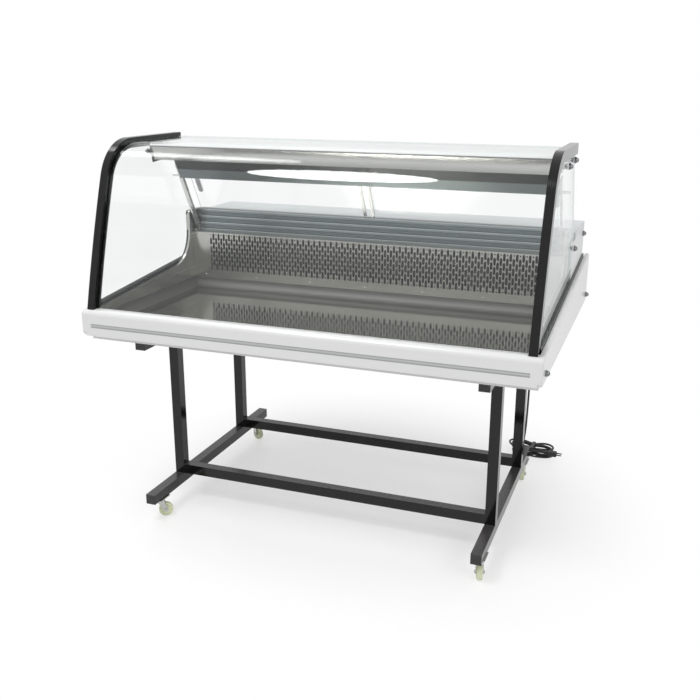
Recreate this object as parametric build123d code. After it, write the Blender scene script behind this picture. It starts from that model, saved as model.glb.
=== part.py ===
"""Refrigerated display case on a wheeled stand, as separate named pieces.

Millimetres. +X is right seen from the customer side, +Y is the operator side, Z is up from the floor.
"""
import os
from math import asin, cos, pi, radians, sin, sqrt, tan

from build123d import *

os.makedirs("parts", exist_ok=True)

# Fits
RUN_FIT = 0.06
SLIP = 0.2
SEAT_GAP = 0.3

# Case envelope and its side walls, from the outside in
PANEL_OUT = 750.0
PANEL_T = 15.0
TUB_WALL = 17.0
LINER_T = 15.0
PANEL_IN = PANEL_OUT - PANEL_T
WALL_IN = PANEL_IN - TUB_WALL
LINER_IN = WALL_IN - LINER_T
CASE_FRONT = -540.0
CASE_REAR = 540.0
PANEL_LIP = 10.0
TUB_REAR = CASE_REAR - PANEL_LIP

# Stand of square tube
TUBE = 35.0
TUBE_WALL = 2.0
RAIL_X = 577.5
RAIL_FRONT = CASE_FRONT + 65.0
RAIL_REAR = CASE_REAR - 104.0
POST_YS = (RAIL_FRONT + 222.5, RAIL_REAR - 208.0)
CASTOR_H = 72.0
STAND_TOP = 671.0
CAP_FLANGE = 4.0
CAP_PLUG = 14.0

# Castors, with the way each one trails at rest
CASTOR_YS = {"f": RAIL_FRONT + 63.0, "r": RAIL_REAR - 78.0}
CASTOR_TURNS = {"fl": 33.0, "fr": -75.0, "rl": -30.0, "rr": -80.0}
WHEEL_R = 25.0
WHEEL_W = 18.0
HUB_PAST = 0.9
HUB_FIT = 0.4
TRAIL = 18.0
AXLE_R = 3.0
KING_R = 6.0
KING_HEAD = 3.0
LEG_IN = WHEEL_W / 2 + HUB_PAST + HUB_FIT
LEG_T = 2.5
CROWN_R = 17.0
CROWN_T = 6.0
RACE_H = 4.0
SEAT_T = 3.0
CROWN_TOP = CASTOR_H - SEAT_T - RACE_H
CROWN_LOW = CROWN_TOP - CROWN_T

# Base tub and bumper extrusion
TUB_H = 48.0
TUB_TOP = STAND_TOP + TUB_H
PANEL_LOW = STAND_TOP + 19.0
BUMPER_H = 87.0
BUMPER_TOP = PANEL_LOW + BUMPER_H
BUMPER_DEEP = 35.0
BUMPER_BACK = CASE_FRONT + BUMPER_DEEP
BUMPER_NOSE = 20.0
BUMPER_X = PANEL_IN - BUMPER_NOSE
BUMPER_ROUND = 18.0
BUMPER_WALL = 4.0
STRIP_LOW = PANEL_LOW + 28.0
STRIP_H = 13.0
STRIP_HIGH = STRIP_LOW + STRIP_H
STRIP_DEEP = 4.0

# Deck, end panels and the seal under the side glass
DECK_T = 2.5
DECK_DEEP = 38.0
DECK_RIM = TUB_TOP + DECK_DEEP
DECK_COVE = 30.0
PANEL_ROUND = 14.0
PANEL_LINE = BUMPER_TOP + 47.0
PANEL_SLOPE = 0.094
SEAL_DROP = 10.0
SEAL_FLOOR = 12.0
SEAL_H = 20.0
SEAL_SKIN = 1.0
SEAL_FRONT = BUMPER_BACK + 17.0
LINER_DROP = 1.5

# Machinery space, from the worktop's rear edge forwards
WORKTOP_REAR = CASE_REAR - 53.0
COND_LONG = 140.0
COND_Y = (WORKTOP_REAR - 12.0 - COND_LONG, WORKTOP_REAR - 12.0)
WALL_T = 20.0
WALL_FRONT = COND_Y[0] - 15.0 - WALL_T
COIL_DEEP = 80.0
COIL_REAR = WALL_FRONT - 15.0
COIL_FRONT = COIL_REAR - COIL_DEEP
COIL_X = 420.0
COIL_TOP = TUB_TOP + 181.0
COIL_FINS = 21
FAN_R = 60.0
FAN_DEEP = 20.0
FAN_ROOM = 5.0
HUB_R = 18.0
MOTOR_R = 25.0
MOTOR_LONG = 40.0
SHAFT_R = 4.0
COOL_FAN_X = 300.0
COOL_FAN_Y = COIL_FRONT - MOTOR_LONG - FAN_ROOM - FAN_DEEP
COOL_FAN_Z = TUB_TOP + 131.0
PUMP_X = -380.0
PUMP_R = 62.0
PUMP_Y = WALL_FRONT + WALL_T + 23.0 + PUMP_R
PUMP_TOP = TUB_TOP + 156.0
COND_T = 60.0
COND_X = (100.0, 100.0 + COND_T)
COND_TOP = TUB_TOP + 161.0
COND_FAN_X = COND_X[0] - 18.0 - FAN_DEEP
COND_FAN_Z = TUB_TOP + 81.0
LINE_R = 5.0

# Grille, sill, worktop and rear
GRILLE_Y = COOL_FAN_Y - 16.0
GRILLE_T = 2.0
SILL_H = 83.0
SILL_TOP = TUB_TOP + 296.0
GRILLE_TOP = SILL_TOP - SILL_H
SILL_FRONT = GRILLE_Y + 36.0
SILL_DEEP = 55.0
SILL_REAR = SILL_FRONT + SILL_DEEP
SILL_GROOVES = 3
SILL_LAND = 9.0
SILL_STEP = 3.0
NOTCH_REAR = SILL_FRONT + 20.0
CHEEK_FRONT = GRILLE_Y - 24.0
CHEEK_ROUND = 14.0
CHEEK_SWEEP = 120.0
SLOT_COLUMNS = 33
SLOT_PITCH = 38.0
SLOT_W = 12.0
SLOT_H = 24.0
SLOT_STEP = 34.0
SLOT_LOW = TUB_TOP + 64.0
SLOT_HIGH = GRILLE_TOP - 5.0
WORKTOP_TOP = SILL_TOP - 14.0
WORKTOP_T = 25.0
WORKTOP_SKIN = 3.0
WORKTOP_LOW = WORKTOP_TOP - WORKTOP_T
REAR_PLATE_FRONT = SILL_FRONT - 8.0
REAR_STEP = TUB_TOP + 145.0
SHEET = 2.0
LOUVRE_X = (-540.0, -180.0, 180.0, 540.0)
LOUVRE_ROWS = 6

# Bent glass and corner gasket share one outline
GLASS_RISE = 531.0
CREST_Z = BUMPER_TOP + GLASS_RISE
BEND_R = 164.0
LEAN = 19.5
SWEEP_R = 5066.0
FOOT_BACK = 10.35
GLASS_T = 6.0
GLASS_DEPTH = 13.0
GLASS_BITE = 10.0
GLASS_LAND = 2.5
SIDE_BITE = 12.5
SIDE_DEPTH = GLASS_DEPTH + GLASS_T + GLASS_LAND
GASKET_DEEP = SIDE_DEPTH + SIDE_BITE
GASKET_INSET = 4.0
GASKET_LIP = 3.0
GASKET_WEB = 9.0
FRONT_BITE = 8.0
GASKET_OUT = PANEL_IN - GASKET_INSET
SIDE_IN = GASKET_OUT - GASKET_LIP - GLASS_T
GASKET_SLOT = SIDE_IN - GASKET_WEB
GASKET_IN = GASKET_SLOT - FRONT_BITE
REAR_PLATE_T = GLASS_T

# Canopy and the slanted door frame
CANOPY_INSET = 13.0
CANOPY_X = LINER_IN - CANOPY_INSET
CANOPY_H = 81.0
CANOPY_WALL = 3.0
CANOPY_COVE = 4.0
CANOPY_SHOULDER = 13.0
CANOPY_BEAD = 4.0
CANOPY_STEP = 2.0
CANOPY_TOP = CREST_Z - GLASS_DEPTH - GLASS_T
FRAME_Z = CREST_Z - CANOPY_H
FRAME_TILT = 28.5
FRAME_AHEAD = 61.5
FRAME_Y = SILL_FRONT - FRAME_AHEAD - (FRAME_Z - SILL_TOP) * tan(radians(FRAME_TILT))
FRAME_DEEP = 96.0
CANOPY_LOW_FRONT = FRAME_Y - 129.4
CANOPY_FRONT = CANOPY_LOW_FRONT - 17.0
GLASS_PAST = 4.0
VISOR_LONG = 92.0
VISOR_T = 4.0
TRACK_LONG = 44.0
TRACK_LIP = 2.5
TRACK_ROOM = 3.0
DOOR_T = 5.0
DOOR_FIRST = 62.0
DOOR_PITCH = 15.0
DOOR_N = {"left": DOOR_FIRST, "right": DOOR_FIRST + DOOR_PITCH}
DOOR_END = CANOPY_X - 2.0
DOOR_LAP = 22.0
DOOR_HEAD = 14.0
GROOVE_ROOM = 2.0
GROOVE_HALF = DOOR_T / 2 + GROOVE_ROOM
GROOVE_DEEP = 13.0
GRIP_X = DOOR_END - 21.0
GRIP_W = 18.0
GRIP_T = 6.5
GRIP_FROM = 124.0
GRIP_LONG = 74.0
EDGE_W = 8.0
EDGE_T = 2.0
END_PLATE_T = 2.0
STANDOFF_R = 9.0
CANOPY_BOLTS = ((CANOPY_LOW_FRONT + 33.0, FRAME_Z + 24.0), (FRAME_Y + 42.5, FRAME_Z + 31.0))
LAMP_X = CANOPY_X - 50.0
LAMP_H = 22.0
DIFFUSER_FRONT = CANOPY_LOW_FRONT + 21.0
DIFFUSER_REAR = FRAME_Y - 13.4
PANE_N = 50.0
PANE_FALL = 16.0
STRUT_T = 6.7
STRUT_W = 24.0
STRUT_N = (2.4, 2.4 + STRUT_W)
STRUT_FROM = 36.0
STRUT_STUD = (10.0, 86.0)
EYE_R = 15.0
EYE_DROP = 97.0

# Controls
PANEL_X = (400.0, 560.0)
PANEL_Z = (REAR_STEP + 16.0, REAR_STEP + 98.0)
PANEL_SKIN = 3.0
ROCKER_X = 435.0
ROCKER_Z = REAR_STEP + 56.0
ROCKER_W = 15.4
ROCKER_H = 23.0
ROCKER_REST = 8.0
KNOB_X = 510.0
KNOB_Z = REAR_STEP + 56.0
KNOB_R = 20.0

# Cap nuts
NUT_FLAT = 17.0
NUT_BODY = 5.0
PANEL_NUTS = ((CASE_FRONT + 48.0, PANEL_LOW + 30.0), (CASE_REAR - 35.0, PANEL_LOW + 31.0))
REAR_NUTS = ((REAR_PLATE_FRONT + 38.0, WORKTOP_TOP - 51.0), (WORKTOP_REAR - 35.0, WORKTOP_TOP - 41.0))

# Mains cord
CORD_D = 8.0
GLAND_X = 565.0
GLAND_Y = TUB_REAR - 25.0
GLAND_LONG = 30.0
HANK_X = 580.0
HANK_Y = 610.0
HANK_LOW = 6.3
HANK_RISE = 8.8
HANK_FOLD = 44.0
HANK_WAIST = 26.0
HANK_NECK_R = 38.0
HANK_STEP = 9.0
HANK_CLIMBS = (10, 18, 26)
HANK_END = 40
TIE_W = 12.0
TIE_T = 1.5
TIE_ROOM = 0.6


def save(shape, name):
    """Write one piece to its own file."""
    export_step(shape, "parts/" + name + ".step")


def block(x0, x1, y0, y1, z0, z1):
    """A box between two corners."""
    middle = Pos((x0 + x1) / 2, (y0 + y1) / 2, (z0 + z1) / 2)
    return middle * Box(x1 - x0, y1 - y0, z1 - z0)


def rod(start, axis, radius, length):
    """A round bar from a start point along an axis."""
    return Plane(origin=start, z_dir=axis) * Pos(0, 0, length / 2) * Cylinder(radius, length)


def yz_face(points):
    """A flat outline given as Y and Z pairs."""
    return make_face(Polyline(*[(0, y, z) for y, z in points], close=True))


def run_x(face, x0, x1):
    """Carry an outline along X."""
    return Pos(x0, 0, 0) * extrude(face, amount=x1 - x0, dir=(1, 0, 0))


def group(solids):
    """Separate solids kept in one piece."""
    return Compound(children=[s.solid() if len(s.solids()) == 1 else s for s in solids])


def panel_line(y):
    """Height of the sloping top line of the end panels."""
    return PANEL_LINE + PANEL_SLOPE * y


def wall_line(y):
    """Height of the tub wall under the seal."""
    return panel_line(y) - SEAL_DROP


def seal_floor(y):
    """Height of the groove floor that carries the side glass."""
    return wall_line(y) + SEAL_FLOOR


# Shared outline of the bent glass
def sweep_centre():
    """Centre of the long gentle arc of the front, which stands on the bumper."""
    centre_z = CREST_Z - BEND_R - (SWEEP_R - BEND_R) * sin(radians(LEAN))
    return CASE_FRONT + FOOT_BACK + sqrt(SWEEP_R ** 2 - (BUMPER_TOP - centre_z) ** 2), centre_z


def bend_y():
    """Where the flat top ends and the bend begins."""
    return sweep_centre()[0] - (SWEEP_R - BEND_R) * cos(radians(LEAN))


def foot_y(depth, z):
    """Y of the front line at a depth below the outer line and a height."""
    centre_y, centre_z = sweep_centre()
    radius = SWEEP_R - depth
    return centre_y - sqrt(radius ** 2 - (z - centre_z) ** 2)


def outline(depth, z_low, y_rear):
    """Flat top, bend and front sweep at one depth, from the rear end to the foot."""
    bend_z = CREST_Z - BEND_R
    radius = BEND_R - depth
    centre_y, centre_z = sweep_centre()
    turn = radians(90 - LEAN)

    def bend_point(angle):
        return 0, bend_y() - radius * sin(angle), bend_z + radius * cos(angle)

    def sweep_point(angle):
        long_r = SWEEP_R - depth
        return 0, centre_y - long_r * cos(angle), centre_z + long_r * sin(angle)

    low = asin((z_low - centre_z) / (SWEEP_R - depth))
    high = radians(LEAN)
    rear = (0, y_rear, CREST_Z - depth)
    flat = Line(rear, bend_point(0))
    bend = ThreePointArc(bend_point(0), bend_point(turn / 2), bend_point(turn))
    front = ThreePointArc(sweep_point(high), sweep_point((high + low) / 2), sweep_point(low))
    return [flat, bend, front], rear, sweep_point(low)


def band(near, far, z_low, y_rear):
    """The face between two depths of the shared outline."""
    outer, outer_rear, outer_foot = outline(near, z_low, y_rear)
    inner, inner_rear, inner_foot = outline(far, z_low, y_rear)
    ends = [Line(outer_rear, inner_rear), Line(outer_foot, inner_foot)]
    return make_face(outer + inner + ends)


# Slanted door frame, n is across the frame and t runs down it
def frame_point(n, t):
    """Y and Z of a place in the slanted frame."""
    c = cos(radians(FRAME_TILT))
    s = sin(radians(FRAME_TILT))
    return FRAME_Y + n * c + t * s, FRAME_Z + n * s - t * c


def frame_bar(x0, x1, n0, n1, t0, t1):
    """A bar along X with a rectangular section in the slanted frame."""
    corners = [frame_point(n0, t0), frame_point(n1, t0), frame_point(n1, t1), frame_point(n0, t1)]
    return run_x(yz_face(corners), x0, x1)


def frame_t(n, z):
    """How far down the frame a layer reaches a height."""
    return (FRAME_Z + n * sin(radians(FRAME_TILT)) - z) / cos(radians(FRAME_TILT))


def glass_rear():
    """Rear edge of the bent glass, just past the canopy."""
    return frame_point(FRAME_DEEP, 0.0)[0] + GLASS_PAST


def strut_eye():
    """How far down the frame the strut's eye lies."""
    middle = (STRUT_N[0] + STRUT_N[1]) / 2
    return frame_t(middle, SILL_TOP) + EYE_DROP


def groove_floor(side):
    """Depth down the frame of one door groove's floor."""
    return frame_t(DOOR_N[side], SILL_TOP) + GROOVE_DEEP


# Stand
def tube_y(x, y0, y1, z0):
    """Square tube along Y."""
    half = TUBE / 2
    outer = block(x - half, x + half, y0, y1, z0, z0 + TUBE)
    half -= TUBE_WALL
    return outer - block(x - half, x + half, y0, y1, z0 + TUBE_WALL, z0 + TUBE - TUBE_WALL)


def make_stand():
    """Foot rails, posts, long rails, top rails and end caps."""
    half = TUBE / 2
    hole = half - TUBE_WALL
    foot_top = CASTOR_H + TUBE
    rail_low = STAND_TOP - TUBE
    tube_ends = (RAIL_FRONT + CAP_FLANGE, RAIL_REAR - CAP_FLANGE)
    feet = []
    tops = []
    posts = []
    caps = []
    for side in (-1, 1):
        x = side * RAIL_X
        feet.append(tube_y(x, tube_ends[0], tube_ends[1], CASTOR_H))
        tops.append(tube_y(x, tube_ends[0], tube_ends[1], rail_low))
        for y in POST_YS:
            post = block(x - half, x + half, y - half, y + half, foot_top, rail_low)
            posts.append(post - block(x - hole, x + hole, y - hole, y + hole, foot_top, rail_low))
        for z in (CASTOR_H, rail_low):
            for end, way in ((tube_ends[0], -1), (tube_ends[1], 1)):
                flange = Pos(x, end + way * CAP_FLANGE / 2, z + half) * Box(TUBE, CAP_FLANGE, TUBE)
                face = flange.faces().sort_by(Axis.Y)[0 if way < 0 else -1]
                flange = fillet(face.edges(), CAP_FLANGE * 0.7)
                wide = 2 * (hole - SLIP)
                plug = Pos(x, end - way * CAP_PLUG / 2, z + half) * Box(wide, CAP_PLUG, wide)
                caps.append(flange + plug)
    longs = []
    for y in POST_YS:
        reach = RAIL_X - half
        bar = block(-reach, reach, y - half, y + half, foot_top, foot_top + TUBE)
        inner = block(-reach, reach, y - hole, y + hole, foot_top + TUBE_WALL, foot_top + TUBE - TUBE_WALL)
        longs.append(bar - inner)
    save(group(feet), "foot_rails")
    save(group(posts), "stand_posts")
    save(group(longs), "long_rails")
    save(group(tops), "top_rails")
    save(group(caps), "tube_caps")


# Castors
def castor_seat():
    """Fixed plate, race ring and king pin, about its own swivel axis."""
    plate_low = CASTOR_H - SEAT_T
    plate = block(-22, 22, -30, 30, plate_low, CASTOR_H)
    ring = rod((0, 0, CROWN_TOP + SEAT_GAP), (0, 0, 1), CROWN_R - 2, plate_low - CROWN_TOP - SEAT_GAP)
    head_low = CROWN_LOW - KING_HEAD
    pin = rod((0, 0, head_low), (0, 0, 1), KING_R, plate_low - head_low)
    head = rod((0, 0, head_low), (0, 0, 1), KING_R + 2.5, KING_HEAD - SEAT_GAP)
    return plate + ring + pin + head


def castor_fork():
    """Crown with two legs, trailing along +X, and the axle bolt."""
    crown = rod((0, 0, CROWN_LOW), (0, 0, 1), CROWN_R, CROWN_TOP - CROWN_LOW)
    fork = crown
    for side in (-1, 1):
        inner = side * LEG_IN
        outline_points = [(-12, CROWN_LOW + 1), (13, CROWN_LOW + 1), (TRAIL + 7.6, WHEEL_R + 2.5),
                          (TRAIL - 6.5, WHEEL_R - 4.5)]
        web = make_face(Polyline(*[(x, inner, z) for x, z in outline_points], close=True))
        leg = extrude(web, amount=LEG_T, dir=(0, side, 0))
        boss = rod((TRAIL, inner, WHEEL_R), (0, side, 0), 8.0, LEG_T)
        hole = rod((TRAIL, inner - side, WHEEL_R), (0, side, 0), AXLE_R + 0.1, LEG_T + 2)
        fork = fork + leg + boss - hole
    fork = fork - rod((0, 0, CROWN_LOW - 1), (0, 0, 1), KING_R + RUN_FIT, CROWN_TOP - CROWN_LOW + 2)
    reach = LEG_IN + LEG_T
    bolt = rod((TRAIL, -reach - 4, WHEEL_R), (0, 1, 0), AXLE_R, 2 * reach + 8)
    for side in (-1, 1):
        hexagon = Plane(origin=(TRAIL, side * reach, WHEEL_R), z_dir=(0, side, 0)) * RegularPolygon(5.6, 6)
        bolt = bolt + extrude(hexagon, amount=3.5, dir=(0, side, 0))
    return [fork, bolt]


def castor_wheel():
    """Wheel about its axle, trailing along +X."""
    bore = AXLE_R + RUN_FIT
    hub = LEG_IN - HUB_FIT
    half = WHEEL_W / 2
    rim = WHEEL_R - 4.5
    profile = [(bore, -hub), (8.5, -hub), (9.5, -half + 3), (rim - 2, -half + 3), (rim, -half)]
    profile = profile + [(WHEEL_R - 1.6, -half), (WHEEL_R, -half + 2.2)]
    profile = profile + [(r, -y) for r, y in reversed(profile)]
    face = make_face(Polyline(*[(TRAIL + r, y, WHEEL_R) for r, y in profile], close=True))
    return revolve(face, Axis((TRAIL, 0, WHEEL_R), (0, 1, 0)), 360)


def make_castors():
    """Four castors, each turned to its resting direction."""
    seats = []
    for name, turn in CASTOR_TURNS.items():
        side = -1 if name.endswith("l") else 1
        place = Pos(side * RAIL_X, CASTOR_YS[name[0]], 0)
        seats.append(place * castor_seat())
        turned = place * Rot(0, 0, turn)
        save(group([turned * piece for piece in castor_fork()]), "castor_fork_" + name)
        save(turned * castor_wheel(), "castor_wheel_" + name)
    save(group(seats), "castor_seats")


# Base
def bumper_outline():
    """Outer section of the bumper, shared with the panel noses."""
    shoulder = BUMPER_ROUND
    top_front = CASE_FRONT + shoulder
    bend = shoulder * (1 - sqrt(0.5))
    arc = ThreePointArc((0, CASE_FRONT, BUMPER_TOP - shoulder), (0, CASE_FRONT + bend, BUMPER_TOP - bend),
                        (0, top_front, BUMPER_TOP))
    rest = Polyline((0, top_front, BUMPER_TOP), (0, BUMPER_BACK, BUMPER_TOP), (0, BUMPER_BACK, PANEL_LOW),
                    (0, CASE_FRONT, PANEL_LOW), (0, CASE_FRONT, BUMPER_TOP - shoulder))
    return make_face([arc] + list(rest.edges()))


def make_base():
    """Tub, deck pan, bumper with its strip, end panels, liners and seals."""
    tub = block(-PANEL_IN, PANEL_IN, BUMPER_BACK, TUB_REAR, STAND_TOP, TUB_TOP)
    for side in (-1, 1):
        wall = yz_face([(BUMPER_BACK, TUB_TOP), (TUB_REAR, TUB_TOP), (TUB_REAR, wall_line(TUB_REAR)),
                        (BUMPER_BACK, wall_line(BUMPER_BACK))])
        ends = sorted((side * WALL_IN, side * PANEL_IN))
        tub = tub + run_x(wall, ends[0], ends[1])
    save(tub, "base_tub")

    pan = block(-LINER_IN, LINER_IN, BUMPER_BACK, GRILLE_Y, TUB_TOP, DECK_RIM)
    well = block(-LINER_IN + DECK_T, LINER_IN - DECK_T, BUMPER_BACK + DECK_T, GRILLE_Y - DECK_T,
                 TUB_TOP + DECK_T, DECK_RIM + DECK_COVE)
    well = fillet(well.faces().sort_by(Axis.Z)[0].edges(), DECK_COVE)
    save(pan - well, "deck_pan")

    bumper = run_x(bumper_outline(), -BUMPER_X, BUMPER_X)
    hollow = block(-BUMPER_X, BUMPER_X, CASE_FRONT + STRIP_DEEP + BUMPER_WALL, BUMPER_BACK - BUMPER_WALL,
                   PANEL_LOW + BUMPER_WALL, BUMPER_TOP - GLASS_BITE - BUMPER_WALL - 2)
    groove = block(-BUMPER_X, BUMPER_X, CASE_FRONT, CASE_FRONT + STRIP_DEEP, STRIP_LOW, STRIP_HIGH)
    slot = run_x(band(GLASS_DEPTH - SLIP, GLASS_DEPTH + GLASS_T + SLIP, BUMPER_TOP - GLASS_BITE, glass_rear()),
                 -BUMPER_X, BUMPER_X)
    save(bumper - hollow - groove - slot, "front_bumper")
    strip = block(-BUMPER_X, BUMPER_X, CASE_FRONT, CASE_FRONT + STRIP_DEEP, STRIP_LOW + SLIP, STRIP_HIGH - SLIP)
    save(strip, "bumper_strip")

    liners = []
    for side, name in ((-1, "left"), (1, "right")):
        corners = [(CASE_FRONT, PANEL_LOW), (CASE_REAR, PANEL_LOW), (CASE_REAR, panel_line(CASE_REAR)),
                   (CASE_FRONT, panel_line(CASE_FRONT))]
        edge = FilletPolyline(*[(0, y, z) for y, z in corners], radius=PANEL_ROUND, close=True)
        plate = run_x(make_face(edge), PANEL_IN, PANEL_OUT)
        plate = fillet(plate.faces().sort_by(Axis.X)[-1].edges(), PANEL_T * 0.4)
        nose = run_x(bumper_outline(), BUMPER_X, PANEL_IN)
        panel = plate + nose
        low = TUB_TOP
        rim = SILL_TOP
        knee = (CHEEK_FRONT, panel_line(CHEEK_FRONT) - LINER_DROP)
        line = [(BUMPER_BACK, low), (SILL_REAR, low), (SILL_REAR, rim), (CHEEK_FRONT, rim), knee,
                (BUMPER_BACK, panel_line(BUMPER_BACK) - LINER_DROP)]
        sheet = yz_face(line)
        sheet = fillet([c for c in sheet.vertices() if abs(c.Z - rim) < SLIP], CHEEK_ROUND)
        knees = [c for c in sheet.vertices() if abs(c.Y - knee[0]) + abs(c.Z - knee[1]) < SLIP]
        liner = run_x(fillet(knees, CHEEK_SWEEP), LINER_IN, WALL_IN)
        if side < 0:
            panel = mirror(panel, Plane.YZ)
            liner = mirror(liner, Plane.YZ)
        save(panel, "end_panel_" + name)
        liners.append(liner)
    save(group(liners), "side_liners")

    seals = []
    for side in (-1, 1):
        ends = sorted((side * (WALL_IN + SEAL_SKIN), side * (PANEL_IN - SEAL_SKIN)))
        slot_ends = sorted((side * (SIDE_IN - SLIP), side * (SIDE_IN + GLASS_T + SLIP)))
        body = yz_face([(SEAL_FRONT, wall_line(SEAL_FRONT)), (WORKTOP_REAR, wall_line(WORKTOP_REAR)),
                        (WORKTOP_REAR, wall_line(WORKTOP_REAR) + SEAL_H),
                        (SEAL_FRONT, wall_line(SEAL_FRONT) + SEAL_H)])
        room = yz_face([(SEAL_FRONT - 1, seal_floor(SEAL_FRONT - 1)),
                        (WORKTOP_REAR + 1, seal_floor(WORKTOP_REAR + 1)),
                        (WORKTOP_REAR + 1, seal_floor(WORKTOP_REAR + 1) + SEAL_H),
                        (SEAL_FRONT - 1, seal_floor(SEAL_FRONT - 1) + SEAL_H)])
        seals.append(run_x(body, ends[0], ends[1]) - run_x(room, slot_ends[0], slot_ends[1]))
    save(group(seals), "liner_seals")


# Glass
def make_glass():
    """Bent front glass, flat side glasses and the corner gaskets."""
    reach = GASKET_SLOT - SLIP
    sheet = band(GLASS_DEPTH, GLASS_DEPTH + GLASS_T, BUMPER_TOP - GLASS_BITE, glass_rear())
    save(run_x(sheet, -reach, reach), "front_glass")

    rear_top = frame_point(PANE_N, PANE_FALL)
    foot = BUMPER_TOP
    for _ in range(6):
        foot = seal_floor(foot_y(SIDE_DEPTH, foot))
    edges, top_rear, low_front = outline(SIDE_DEPTH, foot, rear_top[0])
    low_rear_y = REAR_PLATE_FRONT - SEAT_GAP
    knee_t = PANE_FALL + (low_rear_y - rear_top[0]) / sin(radians(FRAME_TILT))
    knee = frame_point(PANE_N, knee_t)
    back = Polyline(low_front, (0, low_rear_y, seal_floor(low_rear_y)), (0, knee[0], knee[1]),
                    (0, rear_top[0], rear_top[1]), top_rear)
    pane = make_face(edges + list(back.edges()))

    block_face = band(0.0, GASKET_DEEP, BUMPER_TOP, glass_rear())
    front_slot = band(GLASS_DEPTH - SLIP, GLASS_DEPTH + GLASS_T + SLIP, BUMPER_TOP - 5, glass_rear() + 5)
    side_slot = band(SIDE_DEPTH - SLIP, GASKET_DEEP + 5, BUMPER_TOP - 5, glass_rear() + 5)
    gasket = run_x(block_face, GASKET_IN, GASKET_OUT)
    gasket = gasket - run_x(front_slot, GASKET_IN - 1, GASKET_SLOT)
    gasket = gasket - run_x(side_slot, SIDE_IN - SLIP, SIDE_IN + GLASS_T + SLIP)
    side = run_x(pane, SIDE_IN, SIDE_IN + GLASS_T)
    save(side, "side_glass_right")
    save(mirror(side, Plane.YZ), "side_glass_left")
    save(gasket, "corner_gasket_right")
    save(mirror(gasket, Plane.YZ), "corner_gasket_left")


# Canopy and door frame
def canopy_section(inset):
    """Section of the canopy at a depth inside its skin, with a round shoulder over a coved front."""
    top = CANOPY_TOP - inset
    low = FRAME_Z + inset
    front = CANOPY_FRONT + inset
    low_front = CANOPY_LOW_FRONT + inset
    rear_y, rear_z = frame_point(FRAME_DEEP, 0.0)
    rear_y -= inset
    brow = CANOPY_TOP - CANOPY_SHOULDER
    radius = CANOPY_SHOULDER - inset
    corner = radius * (1 - sqrt(0.5))
    shoulder = ThreePointArc((0, front, brow), (0, front + corner, top - corner), (0, front + radius, top))
    cove = ThreePointArc((0, front, brow), (0, (front + low_front) / 2 + CANOPY_COVE, (brow + low) / 2),
                         (0, low_front, low))
    rest = Polyline((0, low_front, low), (0, FRAME_Y - inset / 2, low), (0, rear_y, rear_z + inset),
                    (0, rear_y, top), (0, front + radius, top))
    return make_face([shoulder, cove] + list(rest.edges()))


def make_canopy():
    """Canopy housing, end plates with stand-offs, lamp bar and diffuser."""
    top = CANOPY_TOP
    rear = frame_point(FRAME_DEEP, 0.0)
    w = CANOPY_WALL
    brow = top - CANOPY_SHOULDER
    hollow = canopy_section(w)
    groove = block(-CANOPY_X, CANOPY_X, CANOPY_FRONT - 1, CANOPY_FRONT + CANOPY_STEP, brow - CANOPY_BEAD, brow)
    housing = run_x(canopy_section(0.0), -CANOPY_X, CANOPY_X) - run_x(hollow, -CANOPY_X, CANOPY_X) - groove
    housing = housing - block(-CANOPY_X, CANOPY_X, DIFFUSER_FRONT, DIFFUSER_REAR, FRAME_Z - 1, FRAME_Z + w)
    save(housing, "canopy_housing")

    plates = []
    for side in (-1, 1):
        corners = [(CANOPY_FRONT + CANOPY_SHOULDER, top), (CANOPY_FRONT, brow), (CANOPY_LOW_FRONT - 3, FRAME_Z - 9),
                   (CANOPY_LOW_FRONT + 20, FRAME_Z - 7),
                   (FRAME_Y, FRAME_Z), rear, (rear[0], top)]
        ends = sorted((side * CANOPY_X, side * (CANOPY_X + END_PLATE_T)))
        plate = run_x(yz_face(corners), ends[0], ends[1])
        for y, z in CANOPY_BOLTS:
            start = (side * (CANOPY_X + END_PLATE_T), y, z)
            plate = plate + rod(start, (side, 0, 0), STANDOFF_R, SIDE_IN - CANOPY_X - END_PLATE_T)
        plates.append(plate)
    save(group(plates), "canopy_ends")

    batten_low = top - w - LAMP_H
    bar = block(-LAMP_X, LAMP_X, DIFFUSER_FRONT + 20, DIFFUSER_REAR - 20, batten_low, top - w)
    strip = block(-LAMP_X + 10, LAMP_X - 10, DIFFUSER_FRONT + 37, DIFFUSER_REAR - 37, batten_low - 3, batten_low)
    save(bar + strip, "lamp_bar")
    lens = block(-CANOPY_X + 1, CANOPY_X - 1, DIFFUSER_FRONT + SLIP, DIFFUSER_REAR - SLIP, FRAME_Z, FRAME_Z + w)
    flange = block(-CANOPY_X + 1, CANOPY_X - 1, DIFFUSER_FRONT - 6, DIFFUSER_REAR + 6, FRAME_Z + w,
                   FRAME_Z + w + 2)
    save(lens + flange, "lamp_diffuser")


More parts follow.
